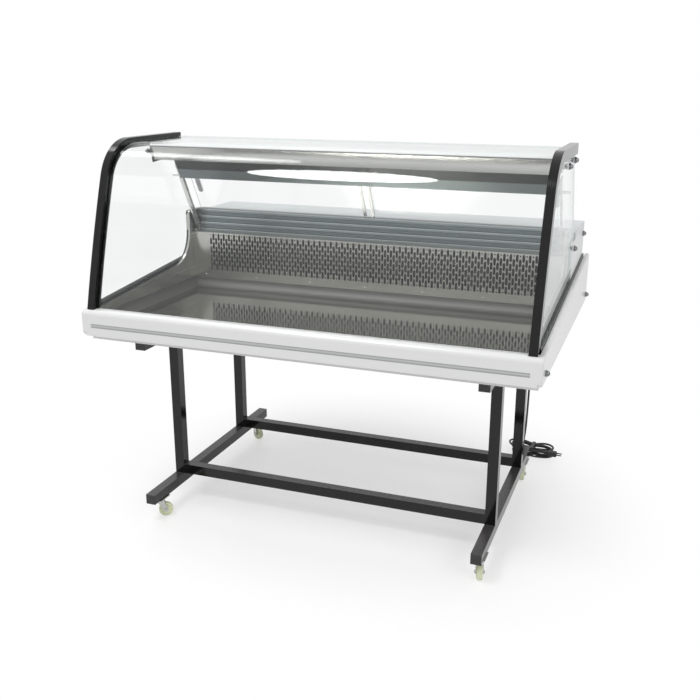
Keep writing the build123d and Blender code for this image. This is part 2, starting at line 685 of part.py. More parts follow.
def make_door_frame():
    """Top track with visor, struts and sill."""
    half = DOOR_T / 2 + TRACK_ROOM
    track = frame_bar(-CANOPY_X, CANOPY_X, 0, FRAME_DEEP, 0, VISOR_T)
    track = track + frame_bar(-CANOPY_X, CANOPY_X, 0, VISOR_T, 0, VISOR_LONG)
    left = DOOR_N["left"]
    right = DOOR_N["right"]
    walls = ((left - half - TRACK_LIP, left - half), (left + half, right - half),
             (right + half, right + half + TRACK_LIP))
    for n0, n1 in walls:
        track = track + frame_bar(-CANOPY_X, CANOPY_X, n0, n1, 0, TRACK_LONG)
    save(track, "door_top_track")

    struts = []
    for side in (-1, 1):
        near = side * (CANOPY_X)
        far = side * (CANOPY_X + STRUT_T)
        ends = sorted((near, far))
        bar = frame_bar(ends[0], ends[1], STRUT_N[0], STRUT_N[1], STRUT_FROM, strut_eye())
        lip = sorted((near, near + side * 2.5))
        bar = bar - frame_bar(lip[0], lip[1], STRUT_N[0] + 5, STRUT_N[1] - 5, VISOR_LONG + 10, strut_eye() - 20)
        middle = (STRUT_N[0] + STRUT_N[1]) / 2
        eye_y, eye_z = frame_point(middle, strut_eye())
        eye = rod((near, eye_y, eye_z), (side, 0, 0), EYE_R, LINER_IN - CANOPY_X)
        hole = rod((near - side, eye_y, eye_z), (side, 0, 0), 7.0, STRUT_T - 1)
        stud_y, stud_z = frame_point(STRUT_STUD[0], STRUT_STUD[1])
        stud = rod((near + side, stud_y, stud_z), (side, 0, 0), 5.0, SIDE_IN - CANOPY_X - 1)
        struts.append(bar + eye + stud - hole)
    save(group(struts), "door_struts")

    front = [(SILL_FRONT, GRILLE_TOP)]
    groove = (SILL_H - SILL_LAND * (SILL_GROOVES + 1)) / SILL_GROOVES
    for k in range(SILL_GROOVES):
        low = GRILLE_TOP + SILL_LAND + k * (SILL_LAND + groove)
        front.extend([(SILL_FRONT, low), (SILL_FRONT + SILL_STEP, low + 2)])
        front.extend([(SILL_FRONT + SILL_STEP, low + groove - 2), (SILL_FRONT, low + groove)])
    front.append((SILL_FRONT, SILL_TOP))
    back = [(SILL_REAR, SILL_TOP), (SILL_REAR, GRILLE_TOP)]
    sill = run_x(yz_face(front + back), -LINER_IN, LINER_IN)
    sill = sill - block(-LINER_IN, LINER_IN, SILL_FRONT + 8, SILL_REAR - 6, GRILLE_TOP + 6, SILL_TOP - 34)
    for name in DOOR_N:
        middle = DOOR_N[name]
        floor = groove_floor(name)
        sill = sill - frame_bar(-LINER_IN, LINER_IN, middle - GROOVE_HALF, middle + GROOVE_HALF, floor - 40, floor)
    for side in (-1, 1):
        ends = sorted((side * (CANOPY_X - 2), side * LINER_IN))
        sill = sill - block(ends[0], ends[1], SILL_FRONT, NOTCH_REAR, GRILLE_TOP, SILL_TOP)
    save(sill, "sill_track")


def make_doors():
    """Two glass doors, each with a grip strip and an edge strip."""
    for name, side in (("left", -1), ("right", 1)):
        middle = DOOR_N[name]
        n0 = middle - DOOR_T / 2
        n1 = middle + DOOR_T / 2
        foot = groove_floor(name) - SEAT_GAP
        ends = sorted((side * DOOR_END, -side * DOOR_LAP))
        pane = frame_bar(ends[0], ends[1], n0, n1, DOOR_HEAD, foot)
        save(pane, "door_" + name)
        grip = frame_bar(side * GRIP_X - GRIP_W / 2, side * GRIP_X + GRIP_W / 2, n1, n1 + GRIP_T, GRIP_FROM,
                         GRIP_FROM + GRIP_LONG)
        across = Axis((0, 0, 0), (0, cos(radians(FRAME_TILT)), sin(radians(FRAME_TILT))))
        grip = fillet(grip.edges().filter_by(across), GRIP_W * 0.4)
        lap = -side * DOOR_LAP
        strip_ends = sorted((lap - (-side) * EDGE_W, lap + (-side) * 1.5))
        sill_t = frame_t(middle, SILL_TOP) - 8
        strip = frame_bar(strip_ends[0], strip_ends[1], n0 - EDGE_T, n1 + EDGE_T, TRACK_LONG + 6, sill_t)
        save(group([grip, strip - pane]), "door_trim_" + name)


# Rear
def make_rear():
    """Back grille, worktop, rear end plates, rear panel, control panel."""
    grille = block(-LINER_IN, LINER_IN, GRILLE_Y, GRILLE_Y + GRILLE_T, TUB_TOP, GRILLE_TOP)
    grille = grille + block(-LINER_IN, LINER_IN, GRILLE_Y, SILL_REAR - 15, GRILLE_TOP - GRILLE_T, GRILLE_TOP)
    cuts = []
    for column in range(SLOT_COLUMNS):
        x = (column - (SLOT_COLUMNS - 1) / 2) * SLOT_PITCH
        z = SLOT_LOW + (column % 2) * SLOT_STEP / 2
        while z + SLOT_H <= SLOT_HIGH:
            cuts.append(block(x - SLOT_W / 2, x + SLOT_W / 2, GRILLE_Y - 1, GRILLE_Y + GRILLE_T + 1, z, z + SLOT_H))
            z += SLOT_STEP
    for side in (-1, 1):
        ends = sorted((side * (CANOPY_X - 2), side * LINER_IN))
        cuts.append(block(ends[0], ends[1], GRILLE_Y + GRILLE_T, NOTCH_REAR, GRILLE_TOP - 10, GRILLE_TOP))
    save(grille - cuts, "back_grille")

    low = WORKTOP_LOW
    wide = SIDE_IN + REAR_PLATE_T
    front = SILL_REAR + SEAT_GAP
    top = block(-wide, wide, front, WORKTOP_REAR, low, WORKTOP_TOP)
    top = fillet(top.faces().sort_by(Axis.Z)[-1].edges(), 3.0)
    skin = WORKTOP_SKIN
    room = block(-wide + skin, wide - skin, front + skin, WORKTOP_REAR - skin, low, WORKTOP_TOP - skin)
    save(top - room, "worktop")

    plates = []
    for side in (-1, 1):
        face = yz_face([(REAR_PLATE_FRONT, seal_floor(REAR_PLATE_FRONT)), (WORKTOP_REAR, seal_floor(WORKTOP_REAR)),
                        (WORKTOP_REAR, low), (REAR_PLATE_FRONT, low)])
        ends = sorted((side * SIDE_IN, side * (SIDE_IN + REAR_PLATE_T)))
        plates.append(run_x(face, ends[0], ends[1]))
    save(group(plates), "rear_end_plates")

    reach = WALL_IN - SEAT_GAP
    inner = WORKTOP_REAR - SHEET
    outer = TUB_REAR + SHEET
    fold = [(TUB_REAR, PANEL_LOW), (outer, PANEL_LOW), (outer, REAR_STEP), (WORKTOP_REAR, REAR_STEP),
            (WORKTOP_REAR, low), (inner, low), (inner, REAR_STEP - SHEET), (TUB_REAR, REAR_STEP - SHEET)]
    rear = run_x(yz_face(fold), -reach, reach)
    gaps = []
    for x in LOUVRE_X:
        for row in range(LOUVRE_ROWS):
            z = TUB_TOP + 18 + row * 20
            gaps.append(block(x - 75, x + 75, TUB_REAR - 1, outer + 1, z, z + 7))
    knob_hole = rod((KNOB_X, inner - 5, KNOB_Z), (0, 1, 0), 3.0 + RUN_FIT, SHEET + PANEL_SKIN + 20)
    save(rear - gaps - knob_hole, "rear_panel")

    skin = WORKTOP_REAR + PANEL_SKIN
    plate = block(PANEL_X[0], PANEL_X[1], WORKTOP_REAR, skin, PANEL_Z[0], PANEL_Z[1])
    half_w = ROCKER_W / 2 + 0.4
    half_h = ROCKER_H / 2 + 1.6
    bezel = block(ROCKER_X - half_w - 5, ROCKER_X + half_w + 5, skin, skin + 6, ROCKER_Z - half_h - 5,
                  ROCKER_Z + half_h + 5)
    window = block(ROCKER_X - half_w, ROCKER_X + half_w, skin - 1, skin + 7, ROCKER_Z - half_h, ROCKER_Z + half_h)
    pins = rod((ROCKER_X - half_w - 3, skin + 3, ROCKER_Z), (1, 0, 0), 1.6 + RUN_FIT, 2 * half_w + 6)
    save(plate + bezel - window - pins - knob_hole, "control_panel")

    hinge_y = skin + 3
    half = ROCKER_H / 2
    shape = [(hinge_y - 1.2, -half), (hinge_y + 6.5, -half), (hinge_y + 4.2, 0), (hinge_y + 6.5, half),
             (hinge_y - 1.2, half)]
    body = run_x(yz_face([(y, ROCKER_Z + z) for y, z in shape]), ROCKER_X - ROCKER_W / 2, ROCKER_X + ROCKER_W / 2)
    body = body + rod((ROCKER_X - half_w - 2.5, hinge_y, ROCKER_Z), (1, 0, 0), 1.6, 2 * half_w + 5)
    save(body.rotate(Axis((0, hinge_y, ROCKER_Z), (1, 0, 0)), ROCKER_REST), "power_rocker")

    base = skin + SEAT_GAP
    knob = rod((KNOB_X, base, KNOB_Z), (0, 1, 0), KNOB_R, 5) + rod((KNOB_X, base, KNOB_Z), (0, 1, 0), KNOB_R - 5, 20)
    knob = knob + block(KNOB_X - 2, KNOB_X + 2, base + 19, base + 22, KNOB_Z - KNOB_R + 7, KNOB_Z + KNOB_R - 7)
    knob = knob + rod((KNOB_X, inner - 4, KNOB_Z), (0, 1, 0), 3.0, base - inner + 5)
    save(knob, "thermostat_knob")


def cap_nut(x, y, z, side):
    """Domed nut standing out along X."""
    hexagon = Plane(origin=(x, y, z), z_dir=(side, 0, 0)) * RegularPolygon(NUT_FLAT / sqrt(3), 6)
    body = extrude(hexagon, amount=NUT_BODY, dir=(side, 0, 0))
    dome_r = NUT_FLAT / 2 - 0.4
    dome = Pos(x + side * NUT_BODY, y, z) * Sphere(dome_r)
    keep = rod((x + side * NUT_BODY, y, z), (side, 0, 0), dome_r + 1, dome_r + 1)
    return body + (dome & keep)


def make_nuts():
    """All the domed nuts, in one piece of separate solids."""
    nuts = []
    for side in (-1, 1):
        for y, z in PANEL_NUTS:
            nuts.append(cap_nut(side * PANEL_OUT, y, z, side))
        for y, z in CANOPY_BOLTS:
            nuts.append(cap_nut(side * (SIDE_IN + GLASS_T), y, z, side))
        for y, z in REAR_NUTS:
            nuts.append(cap_nut(side * (SIDE_IN + REAR_PLATE_T), y, z, side))
    save(group(nuts), "cap_nuts")


# Machinery
def fan_rotor(axis, start):
    """Hub with five pitched blades, turning about an axis."""
    hub_r = HUB_R
    rotor = Pos(0, 0, FAN_DEEP / 2) * Cylinder(hub_r, FAN_DEEP)
    for k in range(5):
        blade = Pos((hub_r + FAN_R) / 2 - 2, 0, FAN_DEEP / 2) * Rot(32, 0, 0) * Box(FAN_R - hub_r + 3, 26, 2)
        rotor = rotor + Rot(0, 0, 72 * k) * blade
    rotor = rotor - Pos(0, 0, FAN_DEEP / 2) * Cylinder(SHAFT_R + RUN_FIT, FAN_DEEP + 2)
    return Plane(origin=start, z_dir=axis) * rotor


def finned(x0, x1, y0, y1, z0, z1, count, along_x):
    """A coil block with open gaps between its fins."""
    coil = block(x0, x1, y0, y1, z0, z1)
    gaps = []
    for k in range(count):
        if along_x:
            x = x0 + (x1 - x0) * (k + 1) / (count + 1)
            gaps.append(block(x - 7, x + 7, y0 - 1, y0 + 22, z0 + 20, z1 + 1))
        else:
            y = y0 + (y1 - y0) * (k + 1) / (count + 1)
            gaps.append(block(x0 - 1, x0 + 18, y - 3.5, y + 3.5, z0 + 20, z1 + 1))
    return coil - gaps


def pipe(points, radius):
    """A refrigerant line through corner points."""
    if len(points) == 2:
        path = Line(points[0], points[1])
    else:
        path = FilletPolyline(*points, radius=20.0)
    return sweep(Plane(origin=path @ 0, z_dir=path % 0) * Circle(radius), path=path)


def make_machinery():
    """Partition, coils, fans and their motors, compressor and lines."""
    top = WORKTOP_TOP - WORKTOP_SKIN
    line_one = (PUMP_X + PUMP_R + 68, TUB_TOP + 101)
    line_two_z = TUB_TOP + 26
    line_three = ((COND_X[0] + COND_X[1]) / 2, TUB_TOP + 121)
    wall = block(-WALL_IN + SEAT_GAP, WALL_IN - SEAT_GAP, WALL_FRONT, WALL_FRONT + WALL_T, TUB_TOP, top)
    for x, z in (line_one, line_three):
        wall = wall - rod((x, WALL_FRONT - 1, z), (0, 1, 0), LINE_R + SLIP, WALL_T + 2)
    save(wall, "partition")

    save(finned(-COIL_X, COIL_X, COIL_FRONT, COIL_REAR, TUB_TOP, COIL_TOP, COIL_FINS, True), "evaporator_coil")
    save(finned(COND_X[0], COND_X[1], COND_Y[0], COND_Y[1], TUB_TOP, COND_TOP, 8, False), "condenser")

    motors = []
    for side, name in ((-1, "left"), (1, "right")):
        x = side * COOL_FAN_X
        rear = COOL_FAN_Y + FAN_DEEP + FAN_ROOM
        save(fan_rotor((0, 1, 0), (x, COOL_FAN_Y, COOL_FAN_Z)), "evaporator_fan_" + name)
        motor = rod((x, rear, COOL_FAN_Z), (0, 1, 0), MOTOR_R, COIL_FRONT - rear)
        shaft = rod((x, COOL_FAN_Y - 1, COOL_FAN_Z), (0, 1, 0), SHAFT_R, rear - COOL_FAN_Y + 2)
        motors.append(motor + shaft)
    cond_y = (COND_Y[0] + COND_Y[1]) / 2
    save(fan_rotor((1, 0, 0), (COND_FAN_X, cond_y, COND_FAN_Z)), "condenser_fan")
    face = COND_FAN_X - FAN_ROOM
    motor = rod((face - 45, cond_y, COND_FAN_Z), (1, 0, 0), MOTOR_R, 45)
    shaft = rod((face - 1, cond_y, COND_FAN_Z), (1, 0, 0), SHAFT_R, FAN_DEEP + 7)
    foot = block(face - 36, face - 12, cond_y - 14, cond_y + 14, TUB_TOP, COND_FAN_Z - MOTOR_R + 4)
    motors.append(motor + shaft + foot)
    save(group(motors), "fan_motors")

    low = TUB_TOP + 14
    shell_r = PUMP_R
    dome = shell_r * 0.62
    pump = rod((0, 0, low), (0, 0, 1), shell_r, PUMP_TOP - dome - low)
    for near, far, base, rise in ((1.0, 0.8, 0.0, 0.6), (0.8, 0.4, 0.6, 0.4)):
        cone = Cone(shell_r * near, shell_r * far, dome * rise)
        pump = pump + Pos(0, 0, PUMP_TOP - dome + dome * (base + rise / 2)) * cone
    for sx in (-1, 1):
        for sy in (-1, 1):
            pump = pump + rod((sx * (shell_r - 10), sy * (shell_r - 22), TUB_TOP), (0, 0, 1), 12, 12)
    pump = pump + block(-shell_r - 6, shell_r + 6, 8 - shell_r, shell_r - 8, TUB_TOP + 10, TUB_TOP + 15)
    for z in (line_one[1], line_two_z):
        pump = pump + rod((0, 0, z), (1, 0, 0), LINE_R + 4, shell_r + 8)
    save(Pos(PUMP_X, PUMP_Y, 0) * pump, "compressor")

    out_x = PUMP_X + shell_r + 8
    lines = [pipe([(out_x, PUMP_Y, line_one[1]), (line_one[0], PUMP_Y, line_one[1]),
                   (line_one[0], COIL_REAR, line_one[1])], LINE_R),
             pipe([(out_x, PUMP_Y, line_two_z), (out_x + 110, PUMP_Y, line_two_z),
                   (out_x + 160, PUMP_Y + 45, line_two_z), (COND_X[0], PUMP_Y + 45, line_two_z)], LINE_R),
             pipe([(line_three[0], COND_Y[0], line_three[1]), (line_three[0], COIL_REAR, line_three[1])], LINE_R)]
    save(group(lines), "refrigerant_lines")


# Mains cord
def vector_arc(start, way, end):
    """An arc leaving start along a direction, or a line when it does not turn."""
    chord = end - start
    along = chord.normalized()
    side = way - along * way.dot(along)
    if side.length < 1e-6:
        return Line(start, end)
    turn = way.get_angle(along)
    rise = chord.length / 2 * tan(radians(turn) / 2)
    return ThreePointArc(start, start + chord * 0.5 + side.normalized() * rise, end)


def biarc(start, way_in, end, way_out):
    """Two arcs that join two points with given directions."""
    chord = end - start
    both = way_in + way_out
    spread = 2 * (1 - way_in.dot(way_out))
    reach = (-chord.dot(both) + sqrt(chord.dot(both) ** 2 + spread * chord.dot(chord))) / spread
    middle = (start + way_in * reach + end - way_out * reach) * 0.5
    joint_way = (end - way_out * reach - start - way_in * reach).normalized()
    return [vector_arc(start, way_in, middle), vector_arc(middle, joint_way, end)]


def neck(start, way, end, shoulder_r, leaving):
    """A run that draws in or out between a fold and the waist, parallel to its neighbours."""
    chord = end - start
    along = chord.normalized()
    sideways = (chord - way * chord.dot(way)).length
    both_r = chord.dot(chord) / (2 * sideways)
    share = shoulder_r / both_r
    middle = start + chord * (share if leaving else 1 - share)
    joint_way = along * (2 * way.dot(along)) - way
    return [vector_arc(start, way, middle), vector_arc(middle, joint_way, end)]


def hank_stations():
    """Places and directions of the loops, spiralling in and out, climbing a layer along a run."""
    fold = HANK_FOLD
    ring = [(fold, -fold, 1, 0), (2 * fold, 0, 0, 1), (fold, fold, -1, 0), (0, HANK_WAIST, -1, 0),
            (-fold, fold, -1, 0), (-2 * fold, 0, 0, -1), (-fold, -fold, 1, 0), (0, -HANK_WAIST, 1, 0)]
    shrink = 0.0
    inward = 1
    z = HANK_LOW
    places = []
    for index in range(HANK_END + 1):
        x, y, dx, dy = ring[index % len(ring)]
        if index == HANK_END:
            shrink = -HANK_STEP
        if dx == 0:
            x -= shrink * (1 if x > 0 else -1)
        else:
            y -= shrink * (1 if y > 0 else -1)
        places.append((Vector(HANK_X + x, HANK_Y + y, z), Vector(dx, dy, 0), shrink))
        if index in HANK_CLIMBS:
            z += HANK_RISE
            inward = -inward
        else:
            shrink += inward * HANK_STEP / len(ring)
    return places


def make_cord():
    """Gland, hanging lead, tied hank, tie and plug."""
    gland_low = STAND_TOP - GLAND_LONG
    flange = rod((GLAND_X, GLAND_Y, STAND_TOP - 6), (0, 0, 1), 13.0, 6)
    sleeve = Pos(GLAND_X, GLAND_Y, STAND_TOP - 6 - (GLAND_LONG - 6) / 2) * Cone(CORD_D / 2 + 1.5, 9.0, GLAND_LONG - 6)
    save(flange + sleeve, "cord_gland")

    places = hank_stations()
    first, first_way, _ = places[0]
    joint = first - first_way * CORD_D
    knots = [(GLAND_X, GLAND_Y, gland_low), (GLAND_X, GLAND_Y, 140.0), (GLAND_X - 5, GLAND_Y + 13, 62.0),
             (joint.X - 62, joint.Y, joint.Z), (joint.X, joint.Y, joint.Z)]
    radii = []
    for k in range(1, len(knots) - 1):
        before = Vector(*knots[k]) - Vector(*knots[k - 1])
        after = Vector(*knots[k + 1]) - Vector(*knots[k])
        turn = radians(before.get_angle(after))
        radii.append(0.45 * min(before.length, after.length) / tan(turn / 2))
    print("lead bend radii", [round(r, 1) for r in radii])
    lead_path = FilletPolyline(*knots, radius=radii)
    lead = sweep(Plane(origin=lead_path @ 0, z_dir=lead_path % 0) * Circle(CORD_D / 2), path=lead_path)
    print("lead volume over section times length", round(lead.volume / (pi * 16 * lead_path.length), 4))
    save(lead, "cord_lead")

    edges = [Line(joint, first)]
    for index in range(HANK_END):
        start, way_in, shrink = places[index]
        end, way_out, _ = places[index + 1]
        if index % 4 in (0, 1):
            edges.extend(biarc(start, way_in, end, way_out))
        else:
            edges.extend(neck(start, way_in, end, HANK_NECK_R - shrink, index % 4 == 2))
    last, last_way, _ = places[-1]
    plug_start = last + last_way * CORD_D
    edges.append(Line(last, plug_start))
    hank_path = Wire(edges)
    hank = sweep(Plane(origin=joint, z_dir=first_way) * Circle(CORD_D / 2), path=hank_path)
    print("hank volume over section times length", round(hank.volume / (pi * 16 * hank_path.length), 4))
    print("cord length", round(lead_path.length), round(hank_path.length))
    points = []
    travelled = []
    run = 0.0
    for edge in edges:
        pieces = max(2, int(edge.length / 3))
        for k in range(pieces):
            points.append(edge @ (k / pieces))
            travelled.append(run + edge.length * k / pieces)
        run += edge.length
    least = 1e9
    for i in range(len(points)):
        for j in range(i + 1, len(points)):
            if travelled[j] - travelled[i] > 4 * CORD_D:
                least = min(least, (points[i] - points[j]).length)
    print("hank least gap", round(least - CORD_D, 2))
    save(hank, "cord_hank")

    near = [p for p in points if abs(p.X - HANK_X) < TIE_W / 2 + 3]
    side = max(abs(p.Y - HANK_Y) for p in near) + CORD_D / 2 + TIE_ROOM
    low = min(p.Z for p in near) - CORD_D / 2 - SEAT_GAP
    high = max(p.Z for p in near) + CORD_D / 2 + TIE_ROOM
    outer = block(HANK_X - TIE_W / 2, HANK_X + TIE_W / 2, HANK_Y - side - TIE_T, HANK_Y + side + TIE_T,
                  low - TIE_T, high + TIE_T)
    outer = fillet(outer.edges().filter_by(Axis.X), 4.0)
    room = block(HANK_X - TIE_W, HANK_X + TIE_W, HANK_Y - side, HANK_Y + side, low, high)
    room = fillet(room.edges().filter_by(Axis.X), 2.6)
    print("tie foot", round(low - TIE_T, 2))
    save(outer - room, "cord_tie")

    turn = Plane(origin=plug_start, z_dir=last_way)
    sleeve = turn * Pos(0, 0, 10) * Cone(CORD_D / 2 + 1, 8.0, 20)
    body = turn * Pos(0, 0, 36) * Box(20, 26, 34)
    body = fillet(body.edges(), 5.0)
    plug = sleeve + body
    for way in (-1, 1):
        plug = plug + turn * Pos(0, way * 9.5, 62) * Cylinder(2.4, 20)
    save(plug, "cord_plug")


make_stand()
make_castors()
make_base()
make_glass()
make_canopy()
make_door_frame()
make_doors()
make_rear()
make_nuts()
make_machinery()
make_cord()
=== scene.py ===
# %% [markdown]
# # A refrigerated display case, dressed in Blender
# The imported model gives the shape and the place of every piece, so nothing here is moved or resized.
# This lesson adds what the solids leave out: finishes, fine perforations, screws, a soft cord, light
# and a camera.

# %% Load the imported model
import math

import bmesh
import bpy
from mathutils import Matrix, Vector


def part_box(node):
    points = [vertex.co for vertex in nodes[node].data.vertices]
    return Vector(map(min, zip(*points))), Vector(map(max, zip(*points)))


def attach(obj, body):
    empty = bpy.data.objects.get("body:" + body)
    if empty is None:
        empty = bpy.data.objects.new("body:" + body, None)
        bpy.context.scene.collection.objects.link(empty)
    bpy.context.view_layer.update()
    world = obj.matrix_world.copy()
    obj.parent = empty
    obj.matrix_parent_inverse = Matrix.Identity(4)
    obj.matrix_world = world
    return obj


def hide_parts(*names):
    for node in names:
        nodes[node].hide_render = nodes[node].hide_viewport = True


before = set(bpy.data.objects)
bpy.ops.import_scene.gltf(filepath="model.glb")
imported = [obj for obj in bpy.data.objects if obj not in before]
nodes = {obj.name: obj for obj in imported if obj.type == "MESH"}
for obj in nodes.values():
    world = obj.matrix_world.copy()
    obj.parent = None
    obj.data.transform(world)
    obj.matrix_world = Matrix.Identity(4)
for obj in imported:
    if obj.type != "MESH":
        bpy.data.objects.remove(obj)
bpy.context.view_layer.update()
scene = bpy.context.scene
scene.view_settings.view_transform = "Standard"
print("pieces from the model", len(nodes))

# %% [markdown]
# The camera stands to the right of the case and looks slightly down on it.
# Its place and lens were worked out from the straight edges of the stand and the case,
# because only one viewpoint makes all of those edges line up.

# %% Camera
camera_data = bpy.data.cameras.new("studio_camera")
camera_data.sensor_width = 36.0
camera_data.lens = 45.86
camera = bpy.data.objects.new("studio_camera", camera_data)
camera.location = (1.053, -2.882, 1.511)
camera.rotation_euler = (math.radians(72.85), math.radians(-0.15), math.radians(20.3))
scene.collection.objects.link(camera)
scene.camera = camera
print("camera height", camera.location.z, "lens", camera_data.lens)

# %% [markdown]
# The mains cord hangs from its gland, turns onto the floor and ends in a hank that a tie holds at the waist.
# One turn of the hank is two round folds joined by two necks that dip in to the tie. A real cord won't fold
# tighter than about three times its own thickness, and that fixes the radius of the folds.

# %% One turn of the hank
CORD_D = 0.008
HANK_CENTRE = Vector((0.580, 0.610, 0.0))
FOLD_R = 0.044
FOLD_SHARE = 0.56
NECK_DIP = 0.0175


def ring_place(turn, inset):
    """Across and along the hank after some turns, starting at the low side of the right-hand fold."""
    side = 1 if turn % 1.0 < 0.5 else -1
    walk = turn % 0.5 / 0.5
    if walk < FOLD_SHARE:
        angle = math.pi * (walk / FOLD_SHARE - 0.5)
        x = FOLD_R + (FOLD_R - inset) * math.cos(angle)
        y = (FOLD_R - inset) * math.sin(angle)
    else:
        x = FOLD_R * (1 - 2 * (walk - FOLD_SHARE) / (1 - FOLD_SHARE))
        y = FOLD_R - inset - NECK_DIP * math.cos(0.5 * math.pi * x / FOLD_R) ** 2
    return side * x, side * y


print("loosest fold", FOLD_R / CORD_D, "cord widths")

# %% [markdown]
# Wound by hand, each turn lies one cord width inside the turn before, until it is full. Then the cord climbs
# a layer and works its way out again. Nothing ties the left folds, so there the later turns rise and fan out.

# %% Layers of the hank
HANK_STEP = 0.0094
HANK_RISE = 0.0088
HANK_LOW = 0.0063
HANK_FAN = 0.0105
HANK_TURNS = 5
CLIMB_AT = (1.25, 2.25, 3.25)
CLIMB_LONG = 0.125


def hank_layer(turn):
    """How many layers up the cord is, and how many steps in, after some turns."""
    layer = 0.0
    step = 0.0
    way = 1.0
    last = 0.0
    for start in CLIMB_AT:
        step += way * (min(turn, start) - last)
        if turn <= start:
            return layer, step
        layer += min(1.0, (turn - start) / CLIMB_LONG)
        way = -way
        last = start + CLIMB_LONG
        if turn <= last:
            return layer, step
    return layer, step + way * (turn - last)


def hank_point(turn):
    """A control point of the hank after some turns."""
    layer, step = hank_layer(turn)
    x, y = ring_place(turn, HANK_STEP * step)
    fan = HANK_FAN * max(0.0, -x / (2 * FOLD_R)) ** 2 * turn / HANK_TURNS
    return HANK_CENTRE + Vector((x - fan, y, HANK_LOW + HANK_RISE * layer + fan))


print("layers at the end", hank_layer(HANK_TURNS)[0])

# %% [markdown]
# A spline passes near its control points without a kink, as rubber does. The few points of the lead and
# of the tail are listed, far enough apart for wide bends, and the hank's rule gives all the others.

# %% Mains cord
POINTS_PER_TURN = 24
HANK_POINTS = 116
GLAND = (0.565, 0.505, 0.641)
LEAD = [GLAND, (0.565, 0.505, 0.182), (0.552, 0.508, 0.075), (0.5545, 0.540, 0.0235),
        (0.587, 0.564, HANK_LOW)]
TAIL = [(-0.040, 0.006, 0.0), (-0.018, 0.0, 0.0), (0.0, 0.0, 0.0)]
plug_low, plug_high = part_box("cord_plug")
plug_mouth = Vector((plug_low.x, (plug_low.y + plug_high.y) / 2, (plug_low.z + plug_high.z) / 2))
cord_points = [Vector(point) for point in LEAD]
for k in range(HANK_POINTS):
    cord_points.append(hank_point(k / POINTS_PER_TURN))
for offset in TAIL:
    cord_points.append(plug_mouth + Vector(offset))

curve = bpy.data.curves.new("mains_cord", "CURVE")
curve.dimensions = "3D"
curve.bevel_depth = CORD_D / 2
curve.bevel_resolution = 4
curve.resolution_u = 6
spline = curve.splines.new("NURBS")
spline.points.add(len(cord_points) - 1)
for knot, where in zip(spline.points, cord_points):
    knot.co = (*where, 1.0)
spline.order_u = 3
spline.use_endpoint_u = True
mains_cord = bpy.data.objects.new("mains_cord", curve)
scene.collection.objects.link(mains_cord)
print("cord points", len(cord_points), "spline length", round(spline.calc_length(), 3))

# %% [markdown]
# Finishes are small node trees. Writing them as arithmetic keeps them readable, so one class wraps a socket:
# plus, minus, times and power add Math nodes, and `node` adds anything else.

# %% Shader arithmetic


class Wire:
    """A socket in a material, with arithmetic on its value."""

    def __init__(self, tree, socket=None):
        self.tree = tree
        self.socket = socket

    def node(self, kind, settings=None, inputs=None, out=0):
        """Add a node, set it up, feed its sockets and return one output."""
        made = self.tree.nodes.new(kind)
        for key, value in (settings or {}).items():
            if key == "stops":
                for element, (place, colour) in zip(self.stops(made, len(value)), value):
                    element.position = place
                    element.color = (*colour, 1.0)
            else:
                setattr(made, key, value)
        for key, value in (inputs or {}).items():
            if isinstance(value, Wire):
                self.tree.links.new(value.socket, made.inputs[key])
            else:
                made.inputs[key].default_value = value
        return Wire(self.tree, made.outputs[out])

    @staticmethod
    def stops(made, count):
        """As many ramp stops as asked for."""
        elements = made.color_ramp.elements
        while len(elements) < count:
            elements.new(0.5)
        return elements

    def maths(self, operation, first, second):
        """One Math node."""
        return self.node("ShaderNodeMath", {"operation": operation}, {0: first, 1: second})

    def __add__(self, other):
        return self.maths("ADD", self, other)

    __radd__ = __add__

    def __sub__(self, other):
        return self.maths("SUBTRACT", self, other)

    def __rsub__(self, other):
        return self.maths("SUBTRACT", other, self)

    def __mul__(self, other):
        return self.maths("MULTIPLY", self, other)

    __rmul__ = __mul__

    def __pow__(self, other):
        return self.maths("POWER", self, other)

    def above(self, painted_edge_highlight):
        """One where the value is over an edge."""
        return self.maths("GREATER_THAN", self, painted_edge_highlight)

    def mix(self, low, high):
        """A colour between two, by this value."""
        settings = {"data_type": "RGBA"}
        return self.node("ShaderNodeMix", settings, {0: self, 6: low, 7: high}, out=2)

    def band(self, low, high, soft):
        """One between two edges, with soft shoulders."""
        rise = self.node("ShaderNodeMapRange", {"interpolation_type": "SMOOTHSTEP"},
                         {0: self, 1: low - soft, 2: low + soft})
        fall = self.node("ShaderNodeMapRange", {"interpolation_type": "SMOOTHSTEP"},
                         {0: self, 1: high - soft, 2: high + soft})
        return rise * (1 - fall)


def rgba(red, green, blue):
    """A colour with full cover."""
    return red, green, blue, 1.0


def material(name, build):
    """A material from a function that returns its surface."""
    made = bpy.data.materials.new(name)
    made.use_nodes = True
    tree = made.node_tree
    tree.nodes.clear()
    surface = build(Wire(tree))
    output = tree.nodes.new("ShaderNodeOutputMaterial")
    tree.links.new(surface.socket, output.inputs["Surface"])
    return made


def place(w):
    """Object coordinates."""
    return w.node("ShaderNodeTexCoord", out="Object")


def axis(w, letter):
    """One of the object coordinates, in metres."""
    return w.node("ShaderNodeSeparateXYZ", None, {0: place(w)}, out="XYZ".index(letter))


def noise(w, scale, stretch=(1.0, 1.0, 1.0), detail=3.0, roughness=0.55):
    """Noise from 0 to 1, at a number of lumps a metre, stretched along the axes."""
    spread = w.node("ShaderNodeMapping", None, {"Vector": place(w), "Scale": stretch})
    return w.node("ShaderNodeTexNoise", None,
                  {"Vector": spread, "Scale": scale, "Detail": detail, "Roughness": roughness}, out="Fac")


def bump(w, height, distance, strength=1.0):
    """A bumped normal from a height."""
    return w.node("ShaderNodeBump", None, {"Height": height, "Distance": distance, "Strength": strength})


